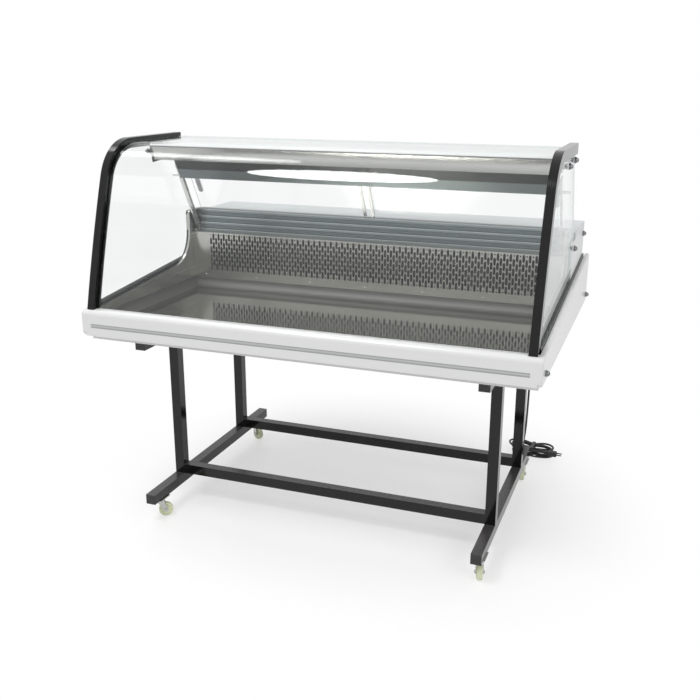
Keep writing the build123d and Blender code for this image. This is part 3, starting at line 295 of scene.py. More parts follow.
def surface(w, colour, roughness, metallic=0.0, normal=None, coat=0.0, specular=0.5):
    """The usual shader."""
    inputs = {"Base Color": colour, "Roughness": roughness, "Metallic": metallic, "Coat Weight": coat,
              "Specular IOR Level": specular}
    if normal is not None:
        inputs["Normal"] = normal
    return w.node("ShaderNodeBsdfPrincipled", None, inputs)


# %% [markdown]
# The stand is square tube in gloss black enamel. Sprayed enamel has a faint ripple, and faces that look up
# are painted paler in blotches, a painted sheen for the bright sky they reflect, so the tree mixes those two
# in.

# %% Enamel and black plastic


def upward(w):
    """One on faces that look up."""
    normal = w.node("ShaderNodeTexCoord", out="Normal")
    z = w.node("ShaderNodeSeparateXYZ", None, {0: normal}, out=2)
    return z.node("ShaderNodeClamp", None, {0: z})


def black_enamel(w):
    # painted sheen: faces that look up get a paler, rougher colour in place of the bright sky they reflect
    painted_top_sheen = upward(w) * (0.35 + noise(w, 420.0) * 0.5)
    colour = painted_top_sheen.mix(rgba(0.005, 0.0047, 0.005), rgba(0.085, 0.08, 0.08))
    rough = 0.08 + noise(w, 60.0) * 0.05 + painted_top_sheen * 0.3
    return surface(w, colour, rough, normal=bump(w, noise(w, 60.0, detail=1.0), 0.0001, 0.2), specular=0.38)


def black_plastic(w):
    colour = noise(w, 40.0).mix(rgba(0.012, 0.012, 0.012), rgba(0.03, 0.03, 0.03))
    return surface(w, colour, 0.38 + noise(w, 90.0) * 0.15, normal=bump(w, noise(w, 2500.0), 0.0002, 0.4))


# %% [markdown]
# The end panels and the bumper are white mouldings, almost even in colour. Wide, weak noise keeps them
# from looking like paper. The bumper also shows a fine joint beside each end of its grey strip,
# and a band on the distance from the middle draws both joints at once.

# %% White mouldings


def moulded_white(w):
    """Two whites in wide clouds."""
    return noise(w, 2.0, detail=1.0).mix(rgba(0.635, 0.64, 0.635), rgba(0.66, 0.665, 0.66))


def white_moulding(w):
    colour = moulded_white(w)
    rough = 0.24 + noise(w, 6.0, detail=1.0) * 0.04
    return surface(w, colour, rough, normal=bump(w, noise(w, 30.0, detail=0.0), 0.00004, 0.3), coat=0.15)


STRIP_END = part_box("bumper_strip")[1].x


def bumper_white(w):
    """The same moulding with the fine joint lines beside the ends of the grey strip."""
    x = axis(w, "X")
    side = x.node("ShaderNodeMath", {"operation": "ABSOLUTE"}, {0: x})
    joint = side.band(STRIP_END + 0.0006, STRIP_END + 0.003, 0.0003)
    colour = joint.mix(moulded_white(w), rgba(0.20, 0.20, 0.20))
    rough = 0.24 + noise(w, 6.0, detail=1.0) * 0.04
    return surface(w, colour, rough, normal=bump(w, 1 - joint, 0.001, 0.5), coat=0.15)


print("bumper joints at", round(STRIP_END, 4))

# %% [markdown]
# The strip in the bumper, the worktop and the rear sheets are three greys. The strip has a raised line
# along it, so a band on the height gives both its colour and its bump.

# %% Greys
STRIP_LINE_LOW = 0.7215
STRIP_LINE_HIGH = 0.7275


def soft_ripple(w):
    """The faint waviness of painted sheet."""
    return bump(w, noise(w, 40.0, detail=0.0), 0.00004, 0.3)


def grey_strip(w):
    z = axis(w, "Z")
    line = z.band(STRIP_LINE_LOW, STRIP_LINE_HIGH, 0.0012)
    colour = line.mix(rgba(0.30, 0.31, 0.31), rgba(0.42, 0.43, 0.43))
    return surface(w, colour, 0.36 + noise(w, 40.0) * 0.12, normal=bump(w, line, 0.0008, 0.8))


def worktop_grey(w):
    colour = noise(w, 4.0).mix(rgba(0.57, 0.60, 0.61), rgba(0.63, 0.655, 0.665))
    return surface(w, colour, 0.30 + noise(w, 8.0) * 0.08, normal=soft_ripple(w))


def rear_grey(w):
    colour = noise(w, 5.0).mix(rgba(0.68, 0.69, 0.695), rgba(0.72, 0.73, 0.735))
    return surface(w, colour, 0.34 + noise(w, 8.0) * 0.08, normal=soft_ripple(w))


print("strip line height", round(STRIP_LINE_HIGH - STRIP_LINE_LOW, 4))

# %% [markdown]
# The small parts differ mostly in how they shine: nylon wheels are waxy, the gaskets are glossy
# ribbed rubber, the cord is dull rubber. Ribs follow a sine along the length,
# which costs less than modelling them.

# %% Nylon, foam and rubber
RIBS = 1100.0


def pale_nylon(w):
    colour = noise(w, 70.0).mix(rgba(0.62, 0.65, 0.42), rgba(0.72, 0.74, 0.55))
    return surface(w, colour, 0.32 + noise(w, 120.0) * 0.2, normal=bump(w, noise(w, 900.0), 0.0002, 0.3))


def lamp_white(w):
    colour = noise(w, 30.0).mix(rgba(0.78, 0.78, 0.76), rgba(0.84, 0.84, 0.82))
    return surface(w, colour, 0.35 + noise(w, 60.0) * 0.1)


def foam_wall(w):
    colour = noise(w, 12.0).mix(rgba(0.012, 0.012, 0.013), rgba(0.022, 0.022, 0.023))
    return surface(w, colour, 0.6 + noise(w, 80.0) * 0.2)


def rubber_black(w):
    x = axis(w, "X")
    ribs = x.node("ShaderNodeMath", {"operation": "SINE"}, {0: x * RIBS})
    colour = noise(w, 45.0).mix(rgba(0.003, 0.003, 0.003), rgba(0.008, 0.008, 0.008))
    return surface(w, colour, 0.10 + noise(w, 12.0) * 0.08, normal=bump(w, ribs, 0.0003, 0.4), specular=0.3)


def cord_rubber(w):
    colour = noise(w, 70.0).mix(rgba(0.010, 0.010, 0.010), rgba(0.024, 0.024, 0.024))
    return surface(w, colour, 0.42 + noise(w, 200.0) * 0.15, normal=bump(w, noise(w, 900.0), 0.0003, 0.3))


print("rib spacing in mm", round(1000 * math.tau / RIBS, 1))

# %% [markdown]
# Sheet metal shows which way it was brushed. Noise stretched along one axis gives the lines,
# and feeding it to roughness as well as bump makes highlights smear across them.

# %% Steel sheet
TUB_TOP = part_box("deck_pan")[0].z
LINER_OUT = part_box("side_liners")[1].x


def grain(w, along):
    """Fine lines along one axis, from 0 to 1."""
    stretch = [80.0, 80.0, 80.0]
    stretch["XYZ".index(along)] = 0.02
    return noise(w, 3.0, tuple(stretch), detail=1.5)


def brushed(w, low, high, rough, along, strength=0.35):
    """Brushed metal with its lines along one axis."""
    lines = grain(w, along)
    cloud = noise(w, 3.0, detail=1.0)
    colour = (lines * 0.3 + cloud * 0.7).mix(low, high)
    return surface(w, colour, rough + lines * 0.06 + cloud * 0.05, 1.0, bump(w, lines, 0.00002, strength))


def stainless(w):
    return brushed(w, rgba(0.42, 0.415, 0.385), rgba(0.54, 0.535, 0.495), 0.20, "X")


def liner_steel(w):
    """Steel sheet whose bent-over top edge wears a black rubber trim."""
    x = axis(w, "X")
    outer = x.node("ShaderNodeMath", {"operation": "ABSOLUTE"}, {0: x}).above(LINER_OUT - 0.007)
    trim = upward(w).above(0.03) * outer
    lines = grain(w, "Y")
    steel_colour = lines.mix(rgba(0.42, 0.42, 0.40), rgba(0.50, 0.50, 0.475))
    colour = trim.mix(steel_colour, rgba(0.012, 0.012, 0.013))
    return surface(w, colour, 0.22 + lines * 0.08 + trim * 0.1, 1 - trim, bump(w, lines, 0.00004, 0.3))


def deck_steel(w):
    """Polished floor of the deck, rougher and painted darker where the sheet was drawn up into the coved
    sides; the darker colour is painted shade.
    """
    cove = axis(w, "Z").above(TUB_TOP + 0.0035)
    lines = grain(w, "X")
    polish = (lines * 0.3 + noise(w, 3.0) * 0.7).mix(rgba(0.33, 0.325, 0.30), rgba(0.39, 0.385, 0.355))
    # painted shade: the coved sides are coloured darker to give the dark band along them
    colour = cove.mix(polish, rgba(0.15, 0.15, 0.14))
    rough = 0.08 + lines * 0.03 + cove * 0.5
    return surface(w, colour, rough, 1.0)


print("deck floor at", round(TUB_TOP, 4))

# %% [markdown]
# The canopy, the sill and the door strips are aluminium extrusions. Their edges and lands run
# the whole length, so the height alone tells which part of the section a point is on.

# %% Aluminium extrusions
CANOPY_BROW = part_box("canopy_housing")[1].z - 0.013
SILL_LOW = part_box("sill_track")[0].z
SILL_LAND = 0.009
SILL_PITCH = (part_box("sill_track")[1].z - SILL_LOW - SILL_LAND) / 3
VISOR_SPLIT = 1.180


def anodised(w):
    return brushed(w, rgba(0.46, 0.465, 0.47), rgba(0.60, 0.60, 0.605), 0.27, "X", 0.25)


def canopy_metal(w):
    """Satin aluminium with a painted sheen band across its face, a shoulder painted near white as a painted
    reflection of the bright sky, and painted shade in the groove under it.
    """
    z = axis(w, "Z")
    # painted shade: the groove under the shoulder is coloured near black
    groove_shade = z.band(CANOPY_BROW - 0.0043, CANOPY_BROW + 0.0003, 0.0002)
    # painted reflection: the shoulder is coloured near white for the bright sky it reflects
    painted_shoulder_reflection = z.above(CANOPY_BROW)
    height = z.node("ShaderNodeMapRange", None, {0: z, 1: CANOPY_BROW - 0.05, 2: CANOPY_BROW})
    # painted sheen: a paler band across the middle of the face
    painted_sheen = height.band(0.25, 0.7, 0.25) * 0.94 + noise(w, 1.5, detail=0.0) * 0.06
    satin = painted_sheen.mix(rgba(0.38, 0.38, 0.365), rgba(0.56, 0.56, 0.545))
    pale = painted_shoulder_reflection.mix(satin, rgba(0.86, 0.86, 0.86))
    colour = groove_shade.mix(pale, rgba(0.02, 0.02, 0.02))
    metal = (1 - groove_shade) * (1 - painted_shoulder_reflection)
    return surface(w, colour, 0.22 + painted_sheen * 0.04 + painted_shoulder_reflection * 0.1, metal)


def sill_anodised(w):
    """Blue-grey extrusion; the grooves between its raised lands are painted darker as painted shade, and a
    pale line along each land's upper edge is a painted highlight.
    """
    step = (axis(w, "Z") - SILL_LOW) * (1.0 / SILL_PITCH)
    across = step.node("ShaderNodeMath", {"operation": "FRACT"}, {0: step})
    land = across.band(-0.1, SILL_LAND / SILL_PITCH, 0.01)
    # painted highlight: a pale line along the upper edge of each land
    painted_edge_highlight = across.band(0.80 * SILL_LAND / SILL_PITCH, SILL_LAND / SILL_PITCH, 0.02)
    cloud = noise(w, 2.0, detail=0.0)
    # painted shade: the grooves between the lands are coloured darker than the lands
    body = (land * 0.9 + cloud * 0.1).mix(rgba(0.13, 0.155, 0.165), rgba(0.25, 0.285, 0.295))
    colour = painted_edge_highlight.mix(body, rgba(0.55, 0.58, 0.58))
    return surface(w, colour, 0.22 + cloud * 0.06, 0.8)


def door_track(w):
    """Blue grey on one extrusion, with the part above the split painted black as painted shade under the
    canopy.
    """
    z = axis(w, "Z")
    shaded_upper = z.above(VISOR_SPLIT)
    cloud = noise(w, 2.0, detail=0.0)
    grey = cloud.mix(rgba(0.155, 0.185, 0.19), rgba(0.18, 0.21, 0.215))
    # painted shade: the upper part of the track is coloured black
    colour = shaded_upper.mix(grey, rgba(0.02, 0.022, 0.023))
    return surface(w, colour, 0.24 + cloud * 0.06, 0.35)


print("sill lands every", round(SILL_PITCH, 4))

# %% [markdown]
# Bolts, castors and pipes are small bright pieces. Zinc plating shows flakes, so a Voronoi pattern
# colours it, and the coils are dark because their fins shade one another.

# %% Small metals
ZINC_FLAKES = 160.0


def polished(w):
    colour = noise(w, 25.0).mix(rgba(0.62, 0.62, 0.61), rgba(0.72, 0.72, 0.71))
    return surface(w, colour, 0.12 + noise(w, 90.0) * 0.12, 1.0, bump(w, noise(w, 400.0), 0.0002, 0.2))


def dark_chrome(w):
    colour = noise(w, 60.0).mix(rgba(0.16, 0.165, 0.17), rgba(0.26, 0.265, 0.27))
    return surface(w, colour, 0.14 + noise(w, 90.0) * 0.1, 1.0)


def zinc(w):
    flakes = w.node("ShaderNodeTexVoronoi", None, {"Vector": place(w), "Scale": ZINC_FLAKES}, out="Distance")
    colour = (flakes * 0.9).mix(rgba(0.42, 0.43, 0.41), rgba(0.60, 0.61, 0.58))
    return surface(w, colour, 0.24 + noise(w, 140.0) * 0.2, 1.0, bump(w, noise(w, 500.0), 0.0002, 0.3))


def copper(w):
    colour = noise(w, 30.0).mix(rgba(0.50, 0.22, 0.12), rgba(0.68, 0.34, 0.20))
    return surface(w, colour, 0.28 + noise(w, 120.0) * 0.2, 1.0)


def coil_metal(w):
    return brushed(w, rgba(0.06, 0.06, 0.06), rgba(0.12, 0.12, 0.118), 0.42, "Z", 0.4)


print("zinc flakes a metre", ZINC_FLAKES)

# %% [markdown]
# The panes are clear float glass. A full refraction shader would leave the deck in the dark, because light
# can't find its way through it, so each face mixes a clear film with a mirror. The mirror grows towards
# grazing angles as it does on real glass. Cut edges are greener, and the pane's own axis tells them apart.

# %% Glass
EDGE_SHARE = 0.55


def clear_film(w):
    """A clear film with a mirror that grows towards grazing angles."""
    facing = w.node("ShaderNodeLayerWeight", None, {"Blend": 0.5}, out="Facing")
    shine = 0.035 + (facing ** 5.0) * 0.8 + noise(w, 2.5) * 0.004
    clear = w.node("ShaderNodeBsdfTransparent", None, {"Color": rgba(0.994, 0.998, 0.997)})
    mirror = w.node("ShaderNodeBsdfGlossy", None, {"Color": rgba(0.95, 0.97, 0.97), "Roughness": 0.015})
    return w.node("ShaderNodeMixShader", None, {0: shine, 1: clear, 2: mirror})


def edged_glass(w, painted_edge_highlight):
    """The film, with a greener cut edge where the mask is one."""
    rim = surface(w, noise(w, 60.0).mix(rgba(0.30, 0.42, 0.40), rgba(0.50, 0.62, 0.60)), 0.15)
    return w.node("ShaderNodeMixShader", None, {0: painted_edge_highlight * EDGE_SHARE, 1: clear_film(w), 2: rim})


def glass_pane(across):
    """Flat glass whose thin way runs along a direction."""

    def build(w):
        normal = w.node("ShaderNodeTexCoord", out="Normal")
        settings = {"operation": "DOT_PRODUCT"}
        flat = w.node("ShaderNodeVectorMath", settings, {0: normal, 1: across}, out="Value")
        facing_out = flat.node("ShaderNodeMath", {"operation": "ABSOLUTE"}, {0: flat}).above(0.7)
        return edged_glass(w, 1 - facing_out)

    return build


def bent_glass(w):
    """The front pane, whose rear edge is the cut edge that shows."""
    return edged_glass(w, axis(w, "Y").above(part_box("front_glass")[1].y - 0.0002))


print("cut edges show a share of", EDGE_SHARE)

# %% [markdown]
# Every piece of the model now takes the finish of its real counterpart.

# %% Dress the model's pieces
TILT = math.radians(28.5)
DOOR_NORMAL = (0.0, math.cos(TILT), math.sin(TILT))
finishes = {
    black_enamel: ["foot_rails", "stand_posts", "long_rails", "top_rails"],
    black_plastic: ["tube_caps", "canopy_ends", "control_panel", "power_rocker", "thermostat_knob",
                    "cord_gland", "cord_tie", "evaporator_fan_left", "evaporator_fan_right", "condenser_fan"],
    white_moulding: ["base_tub", "end_panel_left", "end_panel_right"],
    bumper_white: ["front_bumper"],
    grey_strip: ["bumper_strip"],
    worktop_grey: ["worktop"],
    rear_grey: ["rear_end_plates", "rear_panel"],
    pale_nylon: ["castor_wheel_" + corner for corner in ("fl", "fr", "rl", "rr")],
    zinc: ["castor_seats"] + ["castor_fork_" + corner for corner in ("fl", "fr", "rl", "rr")],
    lamp_white: ["lamp_bar", "lamp_diffuser"],
    foam_wall: ["partition"],
    rubber_black: ["corner_gasket_left", "corner_gasket_right", "liner_seals"],
    cord_rubber: ["cord_lead", "cord_hank", "cord_plug"],
    stainless: ["back_grille"],
    liner_steel: ["side_liners"],
    deck_steel: ["deck_pan"],
    canopy_metal: ["canopy_housing"],
    anodised: ["door_trim_left", "door_trim_right"],
    sill_anodised: ["sill_track"],
    polished: ["door_struts"],
    dark_chrome: ["cap_nuts"],
    copper: ["refrigerant_lines"],
    coil_metal: ["evaporator_coil", "condenser"],
    door_track: ["door_top_track"],
    bent_glass: ["front_glass"],
    glass_pane((1.0, 0.0, 0.0)): ["side_glass_left", "side_glass_right"],
    glass_pane(DOOR_NORMAL): ["door_left", "door_right"],
}


def pump_enamel(w):
    colour = noise(w, 20.0).mix(rgba(0.015, 0.015, 0.016), rgba(0.035, 0.035, 0.036))
    return surface(w, colour, 0.28 + noise(w, 60.0) * 0.15)


finishes[pump_enamel] = ["compressor", "fan_motors"]
made_materials = {}
for build, names in finishes.items():
    made = material(names[0] + "_finish", build)
    made_materials[names[0]] = made
    for name in names:
        mesh = nodes[name].data
        mesh.materials.clear()
        mesh.materials.append(made)
dressed = sum(len(names) for names in finishes.values())
print("finishes", len(finishes), "pieces dressed", dressed, "of", len(nodes))
curve.materials.append(made_materials["cord_lead"])

# %% [markdown]
# The back grille is a sheet with rows of upright slots. Neighbouring columns are shifted by half a step,
# and a small round hole closes the shifted columns at their ends. One cell of sheet with its slot is drawn
# once, and Geometry Nodes set it out in a grid, which is far lighter than cutting hundreds of holes.

# %% One cell of the sheet
GRILLE_LOW, GRILLE_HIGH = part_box("back_grille")
GRILLE_Y = GRILLE_LOW.y
SHEET = 0.002
PITCH_X = 0.011
PITCH_Z = 0.0328
SLOT_W = 0.0084
SLOT_H = 0.0272
COLUMNS = 115
FIELD_LOW = 0.7835
FIELD_ROWS = 4
FIELD_HIGH = FIELD_LOW + (FIELD_ROWS + 0.5) * PITCH_Z


def stadium(width, height, steps=3):
    """Corner points of a slot with round ends, counter-clockwise from the lower right."""
    radius = width / 2
    straight = height / 2 - radius
    points = []
    for centre, start in ((-straight, 180), (straight, 0)):
        for k in range(steps + 1):
            angle = math.radians(start + 180 * k / steps)
            points.append((radius * math.cos(angle), centre + radius * math.sin(angle)))
    return points


def cell_mesh(name, width, height, hole):
    """A rectangle of sheet with one hole through it, open at its outer sides."""
    grid = bmesh.new()
    count = len(hole)
    border = []
    for x, z in hole:
        reach = max(abs(x) / (width / 2), abs(z) / (height / 2), 1e-6)
        border.append((x / reach, z / reach))
    corners = [(sx * width / 2, sz * height / 2) for sx in (-1, 1) for sz in (-1, 1)]
    for corner in corners:
        nearest = min(range(count), key=lambda i: math.dist(border[i], corner))
        border[nearest] = corner
    rings = {}
    for depth in (0.0, SHEET):
        rings["hole", depth] = [grid.verts.new((x, depth, z)) for x, z in hole]
        rings["border", depth] = [grid.verts.new((x, depth, z)) for x, z in border]
    for k in range(count):
        n = (k + 1) % count
        front_hole = rings["hole", 0.0]
        front_border = rings["border", 0.0]
        back_hole = rings["hole", SHEET]
        back_border = rings["border", SHEET]
        grid.faces.new((front_border[k], front_border[n], front_hole[n], front_hole[k]))
        grid.faces.new((back_hole[k], back_hole[n], back_border[n], back_border[k]))
        grid.faces.new((front_hole[k], front_hole[n], back_hole[n], back_hole[k]))
    mesh = bpy.data.meshes.new(name)
    grid.to_mesh(mesh)
    grid.free()
    return mesh


print("slot columns", COLUMNS, "rows", FIELD_ROWS)

# %% [markdown]
# Repeats are set out by one Geometry Nodes tree: it puts a copy at each point, makes the copies real
# and gives them their finish. The result is taken as a plain mesh, so that
# nothing depends on the tree afterwards.

# %% A tree that sets out copies


def node_tree(name, sizes):
    """An empty geometry tree with named number inputs."""
    tree = bpy.data.node_groups.new(name, "GeometryNodeTree")
    tree.interface.new_socket("Geometry", in_out="INPUT", socket_type="NodeSocketGeometry")
    for label, kind in sizes:
        tree.interface.new_socket(label, in_out="INPUT", socket_type=kind)
    tree.interface.new_socket("Geometry", in_out="OUTPUT", socket_type="NodeSocketGeometry")
    return tree, tree.nodes.new("NodeGroupInput"), tree.nodes.new("NodeGroupOutput")


def baked(name, start_mesh, tree, values):
    """Run a geometry tree on a mesh and return the result as a plain mesh object."""
    holder = bpy.data.objects.new(name, start_mesh)
    scene.collection.objects.link(holder)
    modifier = holder.modifiers.new("set_out", "NODES")
    modifier.node_group = tree
    for item in tree.interface.items_tree:
        if item.in_out == "INPUT" and item.name in values:
            modifier[item.identifier] = values[item.name]
    bpy.context.view_layer.update()
    evaluated = holder.evaluated_get(bpy.context.evaluated_depsgraph_get())
    mesh = bpy.data.meshes.new_from_object(evaluated)
    holder.modifiers.remove(modifier)
    holder.data = mesh
    return holder


def scatter_tree(name, finish):
    """A tree that puts a copy of one object at each vertex of the mesh, then realises the copies."""
    tree, source, result = node_tree(name, [("Copy", "NodeSocketObject"), ("Size", "NodeSocketFloat")])
    info = tree.nodes.new("GeometryNodeObjectInfo")
    copies = tree.nodes.new("GeometryNodeInstanceOnPoints")
    real = tree.nodes.new("GeometryNodeRealizeInstances")
    paint = tree.nodes.new("GeometryNodeSetMaterial")
    paint.inputs["Material"].default_value = finish
    link = tree.links.new
    link(source.outputs["Geometry"], copies.inputs["Points"])
    link(source.outputs["Copy"], info.inputs["Object"])
    link(info.outputs["Geometry"], copies.inputs["Instance"])
    link(source.outputs["Size"], copies.inputs["Scale"])
    link(copies.outputs["Instances"], real.inputs["Geometry"])
    link(real.outputs["Geometry"], paint.inputs["Geometry"])
    link(paint.outputs["Geometry"], result.inputs["Geometry"])
    return tree


def points_mesh(name, places):
    """A mesh of bare vertices."""
    mesh = bpy.data.meshes.new(name)
    mesh.from_pydata([tuple(p) for p in places], [], [])
    return mesh


def pattern_object(name, mesh):
    """An object that holds the shape to be repeated."""
    holder = bpy.data.objects.new(name, mesh)
    scene.collection.objects.link(holder)
    return holder


print("trees so far", len(bpy.data.node_groups))

# %% [markdown]
# Now the points. Each column has its slots, every other column starts half a step higher, and the half step
# that is left at one end takes a cell with a round hole.

# %% Set out the slots
DOT_R = 0.0026
DOT_SIDES = 10
steel = made_materials["back_grille"]
slot_cell = pattern_object("slot_cell", cell_mesh("slot_cell", PITCH_X, PITCH_Z, stadium(SLOT_W, SLOT_H)))
dot_angles = [math.tau * k / DOT_SIDES for k in range(DOT_SIDES)]
dot_hole = [(DOT_R * math.cos(angle), DOT_R * math.sin(angle)) for angle in dot_angles]
dot_cell = pattern_object("dot_cell", cell_mesh("dot_cell", PITCH_X, PITCH_Z / 2, dot_hole))
slot_places = []
dot_places = []
for column in range(COLUMNS):
    x = (column - (COLUMNS - 1) / 2) * PITCH_X
    shift = column % 2
    for row in range(FIELD_ROWS):
        z = FIELD_LOW + (row + 0.5 + 0.5 * shift) * PITCH_Z
        slot_places.append((x, GRILLE_Y, z))
    dot_places.append((x, GRILLE_Y, (FIELD_LOW + PITCH_Z / 4) if shift else (FIELD_HIGH - PITCH_Z / 4)))
slots = baked("grille_slots", points_mesh("slot_places", slot_places), scatter_tree("set_out_slots", steel),
              {"Copy": slot_cell, "Size": 1.0})
dots = baked("grille_dots", points_mesh("dot_places", dot_places), scatter_tree("set_out_dots", steel),
             {"Copy": dot_cell, "Size": 1.0})
print("slots", len(slot_places), "round holes", len(dot_places))

# %% [markdown]
# Plain sheet surrounds the pattern, and the top is bent back into a shelf under the sill.
# Five thin plates make it, since nothing there is curved.

# %% Margins of the sheet
SHELF_HALF = 0.688
FIELD_HALF = COLUMNS * PITCH_X / 2
margins = bmesh.new()


def plate(shape, x0, x1, y0, y1, z0, z1):
    """Add a box to a mesh under construction."""
    made = bmesh.ops.create_cube(shape, size=1.0)
    centre = Vector(((x0 + x1) / 2, (y0 + y1) / 2, (z0 + z1) / 2))
    sizes = Matrix.Diagonal((x1 - x0, y1 - y0, z1 - z0, 1.0))
    bmesh.ops.transform(shape, matrix=Matrix.Translation(centre) @ sizes, verts=made["verts"])


HALF = GRILLE_HIGH.x
plate(margins, -HALF, HALF, GRILLE_Y, GRILLE_Y + SHEET, GRILLE_LOW.z, FIELD_LOW)
plate(margins, -HALF, HALF, GRILLE_Y, GRILLE_Y + SHEET, FIELD_HIGH, GRILLE_HIGH.z)
plate(margins, -HALF, -FIELD_HALF, GRILLE_Y, GRILLE_Y + SHEET, FIELD_LOW, FIELD_HIGH)
plate(margins, FIELD_HALF, HALF, GRILLE_Y, GRILLE_Y + SHEET, FIELD_LOW, FIELD_HIGH)
plate(margins, -SHELF_HALF, SHELF_HALF, GRILLE_Y + SHEET, GRILLE_HIGH.y, GRILLE_HIGH.z - SHEET, GRILLE_HIGH.z)
margin_mesh = bpy.data.meshes.new("grille_margins")
margins.to_mesh(margin_mesh)
margins.free()
margin_mesh.materials.append(steel)
margin_object = bpy.data.objects.new("grille_margins", margin_mesh)
scene.collection.objects.link(margin_object)
print("margin faces", len(margin_mesh.polygons))

# %% [markdown]
# Pattern and margins become one mesh, whose shared edges are merged, and it stands in for the solid grille.

# %% Join the sheet
MERGE = 0.00005
perforated = bmesh.new()
for piece in (slots, dots, margin_object):
    perforated.from_mesh(piece.data)
bmesh.ops.remove_doubles(perforated, verts=perforated.verts, dist=MERGE)
grille_mesh = bpy.data.meshes.new("perforated_grille")
perforated.to_mesh(grille_mesh)
perforated.free()
grille_mesh.materials.append(steel)
grille = bpy.data.objects.new("perforated_grille", grille_mesh)
scene.collection.objects.link(grille)
for spare in (slots, dots, margin_object, slot_cell, dot_cell):
    bpy.data.objects.remove(spare)
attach(grille, "case")
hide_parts("back_grille")
print("grille faces", len(grille_mesh.polygons), "slots", len(slot_places))

# %% [markdown]
# Small round-headed screws hold the grille along its foot.
# One low domed head is modelled, and the same kind of tree as before repeats it.

# %% Screws


def screw_mesh(name, radius, height):
    """A low domed head facing -Y."""
    shape = bmesh.new()
    rings = [(1.0, 0.0), (0.97, 0.35), (0.8, 0.75), (0.5, 0.95), (0.22, 1.0)]
    sides = 12
    loops = []
    for scale, rise in rings:
        loop = []
        for k in range(sides):
            angle = math.tau * k / sides
            across = radius * scale
            loop.append(shape.verts.new((across * math.cos(angle), -height * rise, across * math.sin(angle))))
        loops.append(loop)
    for low, high in zip(loops, loops[1:]):
        for k in range(sides):
            n = (k + 1) % sides
            shape.faces.new((low[k], low[n], high[n], high[k]))
    shape.faces.new(loops[-1])
    bmesh.ops.recalc_face_normals(shape, faces=shape.faces)
    mesh = bpy.data.meshes.new(name)
    shape.to_mesh(mesh)
    shape.free()
    for face in mesh.polygons:
        face.use_smooth = True
    return mesh


SCREW_R = 0.0035
SCREW_RISE = 0.0022
FOOT_SCREWS = 7
FOOT_HALF = 0.655
FOOT_Z = 0.768
bright = made_materials["door_struts"]
screw = pattern_object("screw_head", screw_mesh("screw_head", SCREW_R, SCREW_RISE))
foot_step = 2 * FOOT_HALF / (FOOT_SCREWS - 1)
screw_places = [(-FOOT_HALF + foot_step * k, GRILLE_Y, FOOT_Z) for k in range(FOOT_SCREWS)]
grille_screws = baked("grille_screws", points_mesh("grille_screws", screw_places),
                      scatter_tree("set_out_screws", bright), {"Copy": screw, "Size": 1.0})
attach(grille_screws, "case")
print("grille screws", len(screw_places))

# %% [markdown]
# The rear panel comes off for service, so screws hold it along both edges, and four hold the control plate.
# They face the other way, so the same head is turned half round before the tree sets it out.

# %% Rear screws
BEZEL_RISE = 0.006
REAR_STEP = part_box("control_panel")[0].z - 0.016
PANEL_SCREWS = 8
PANEL_HALF = 0.66
EDGE_IN = 0.014
PLATE_IN = 0.009
rear_low, rear_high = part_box("rear_panel")
plate_low, plate_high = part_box("control_panel")
screw.data.transform(Matrix.Rotation(math.pi, 4, "Z"))
rear_places = []
for k in range(PANEL_SCREWS):
    x = -PANEL_HALF + 2 * PANEL_HALF * k / (PANEL_SCREWS - 1)
    for z in (rear_low.z + EDGE_IN, REAR_STEP - EDGE_IN):
        rear_places.append((x, rear_high.y, z))
for x in (plate_low.x + PLATE_IN, plate_high.x - PLATE_IN):
    for z in (plate_low.z + PLATE_IN, plate_high.z - PLATE_IN):
        rear_places.append((x, plate_high.y - BEZEL_RISE, z))
rear_screws = baked("rear_screws", points_mesh("rear_screws", rear_places),
                    scatter_tree("set_out_rear_screws", bright), {"Copy": screw, "Size": 1.0})
bpy.data.objects.remove(screw)
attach(rear_screws, "case")
print("rear screws", len(rear_places))

# %% [markdown]
# A thermostat dial has ticks around its knob. Each tick is a thin bevelled bar, and they stand on a
# three-quarter circle that leaves out the bottom, where the knob stops.

# %% Dial ticks
knob_low, knob_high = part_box("thermostat_knob")
knob_x = (knob_low.x + knob_high.x) / 2
knob_z = (knob_low.z + knob_high.z) / 2
TICKS = 10
TICK_RING = 0.0245
TICK_SIZE = (0.0014, 0.0005, 0.005, 1.0)
ticks = bmesh.new()
for k in range(TICKS):
    bar = bmesh.ops.create_cube(ticks, size=1.0)
    bmesh.ops.transform(ticks, matrix=Matrix.Diagonal(TICK_SIZE), verts=bar["verts"])
    for vert in bar["verts"]:
        if vert.co.y > 0:
            vert.co.x *= 0.7
            vert.co.z *= 0.9
    turn = Matrix.Rotation(math.radians(-135 + 270 * k / (TICKS - 1)), 4, "Y")
    away = Matrix.Translation((0, 0, TICK_RING))
    spot = Matrix.Translation((knob_x, plate_high.y - BEZEL_RISE + 0.0002, knob_z))
    bmesh.ops.transform(ticks, matrix=spot @ turn @ away, verts=bar["verts"])
tick_mesh = bpy.data.meshes.new("dial_ticks")
ticks.to_mesh(tick_mesh)
ticks.free()
tick_mesh.materials.append(made_materials["lamp_bar"])
dial_ticks = bpy.data.objects.new("dial_ticks", tick_mesh)
scene.collection.objects.link(dial_ticks)
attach(dial_ticks, "case")
print("dial ticks", TICKS)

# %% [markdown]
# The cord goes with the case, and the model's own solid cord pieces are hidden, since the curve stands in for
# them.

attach(mains_cord, "case")
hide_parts("cord_lead", "cord_hank")

# %% [markdown]
# The studio is a white floor that runs out of sight, a round soft light high on the left and a weak even sky.
# The floor mixes its own white with the light that falls on it, so the background stays white
# and the shadows under the stand still show.

# %% Floor
NEAR_CASE = 0.45
OPEN_FLOOR = 1.2
floor_mesh = bpy.data.meshes.new("studio_floor")
floor_mesh.from_pydata([(-40, -40, 0), (40, -40, 0), (40, 40, 0), (-40, 40, 0)], [], [(0, 1, 2, 3)])
floor = bpy.data.objects.new("studio_floor", floor_mesh)
scene.collection.objects.link(floor)


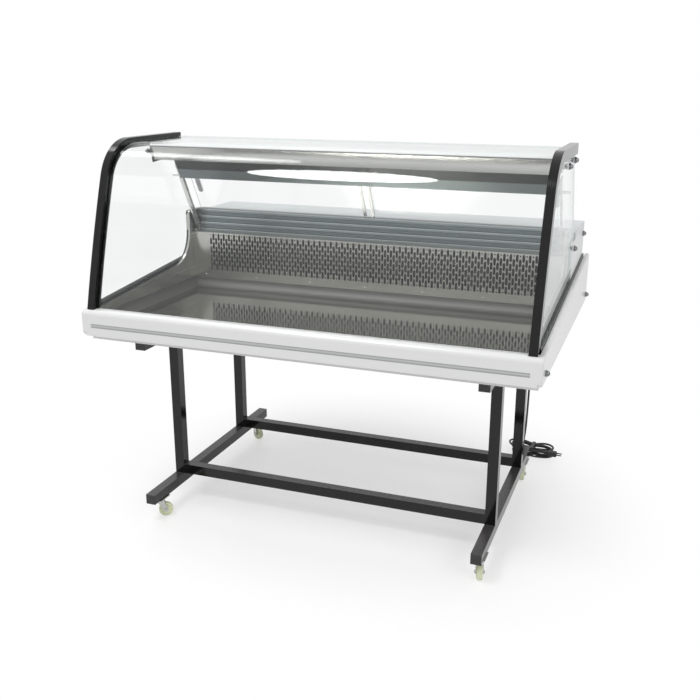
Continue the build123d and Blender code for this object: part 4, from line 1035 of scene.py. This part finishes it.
def white_floor(w):
    lit = surface(w, noise(w, 2.0).mix(rgba(0.90, 0.90, 0.90), rgba(0.92, 0.92, 0.92)), 0.3, specular=0.3)
    glow = w.node("ShaderNodeEmission", None, {"Color": rgba(1, 1, 1), "Strength": 1.0})
    seen = w.node("ShaderNodeLightPath", out="Is Camera Ray")
    mirrored = w.node("ShaderNodeLightPath", out="Is Glossy Ray")
    spread = w.node("ShaderNodeVectorMath", {"operation": "LENGTH"}, {0: place(w)}, out="Value")
    far = spread.node("ShaderNodeMapRange", {"interpolation_type": "SMOOTHSTEP"},
                      {0: spread, 1: NEAR_CASE, 2: OPEN_FLOOR})
    share = (seen + mirrored * 0.85) * (0.42 + far * 0.58)
    return w.node("ShaderNodeMixShader", None, {0: share, 1: lit, 2: glow})


floor_mesh.materials.append(material("studio_floor", white_floor))
print("floor glows fully from", OPEN_FLOOR, "m out")

# %% [markdown]
# The sky lights the case weakly, yet looks full white to the camera, in mirrors and through glass.
# A round soft light gives the bright oval on the visor, a long one the streak on the canopy's left,
# and a wide fill keeps the right side from going grey.

# %% Light
world = bpy.data.worlds.new("studio_sky")
scene.world = world
world.use_nodes = True
sky = world.node_tree
sky.nodes.clear()
sky_wire = Wire(sky)
seen = sky_wire.node("ShaderNodeLightPath", out="Is Camera Ray")
through = sky_wire.node("ShaderNodeLightPath", out="Is Transmission Ray")
shiny = sky_wire.node("ShaderNodeLightPath", out="Is Glossy Ray")
white_share = seen.maths("MAXIMUM", seen, through.maths("MAXIMUM", through, shiny * 0.75))
dim = sky_wire.node("ShaderNodeBackground", None, {"Color": rgba(1, 1, 1), "Strength": 0.62})
full = sky_wire.node("ShaderNodeBackground", None, {"Color": rgba(1, 1, 1), "Strength": 1.0})
background = sky_wire.node("ShaderNodeMixShader", None, {0: white_share, 1: dim, 2: full})
world_out = sky.nodes.new("ShaderNodeOutputWorld")
sky.links.new(background.socket, world_out.inputs["Surface"])


def soft_light(name, where, target, wide, deep, power):
    """An oval soft light aimed at a point."""
    data = bpy.data.lights.new(name, "AREA")
    data.shape = "ELLIPSE"
    data.size = wide
    data.size_y = deep
    data.energy = power
    lamp = bpy.data.objects.new(name, data)
    lamp.location = where
    lamp.rotation_euler = (Vector(target) - Vector(where)).to_track_quat("-Z", "Y").to_euler()
    scene.collection.objects.link(lamp)
    return lamp


soft_light("round_softbox", (-0.93, -1.82, 3.54), (0.0, -0.2, 1.0), 1.18, 1.18, 60.0)
soft_light("strip_softbox", (-1.85, 0.0, 3.5), (-0.6, -0.3, 1.2), 0.5, 1.6, 14.0)
soft_light("fill_right", (3.2, -2.2, 2.6), (0.2, 0.0, 0.8), 2.0, 2.0, 40.0)
print("soft lights", len(bpy.data.lights))
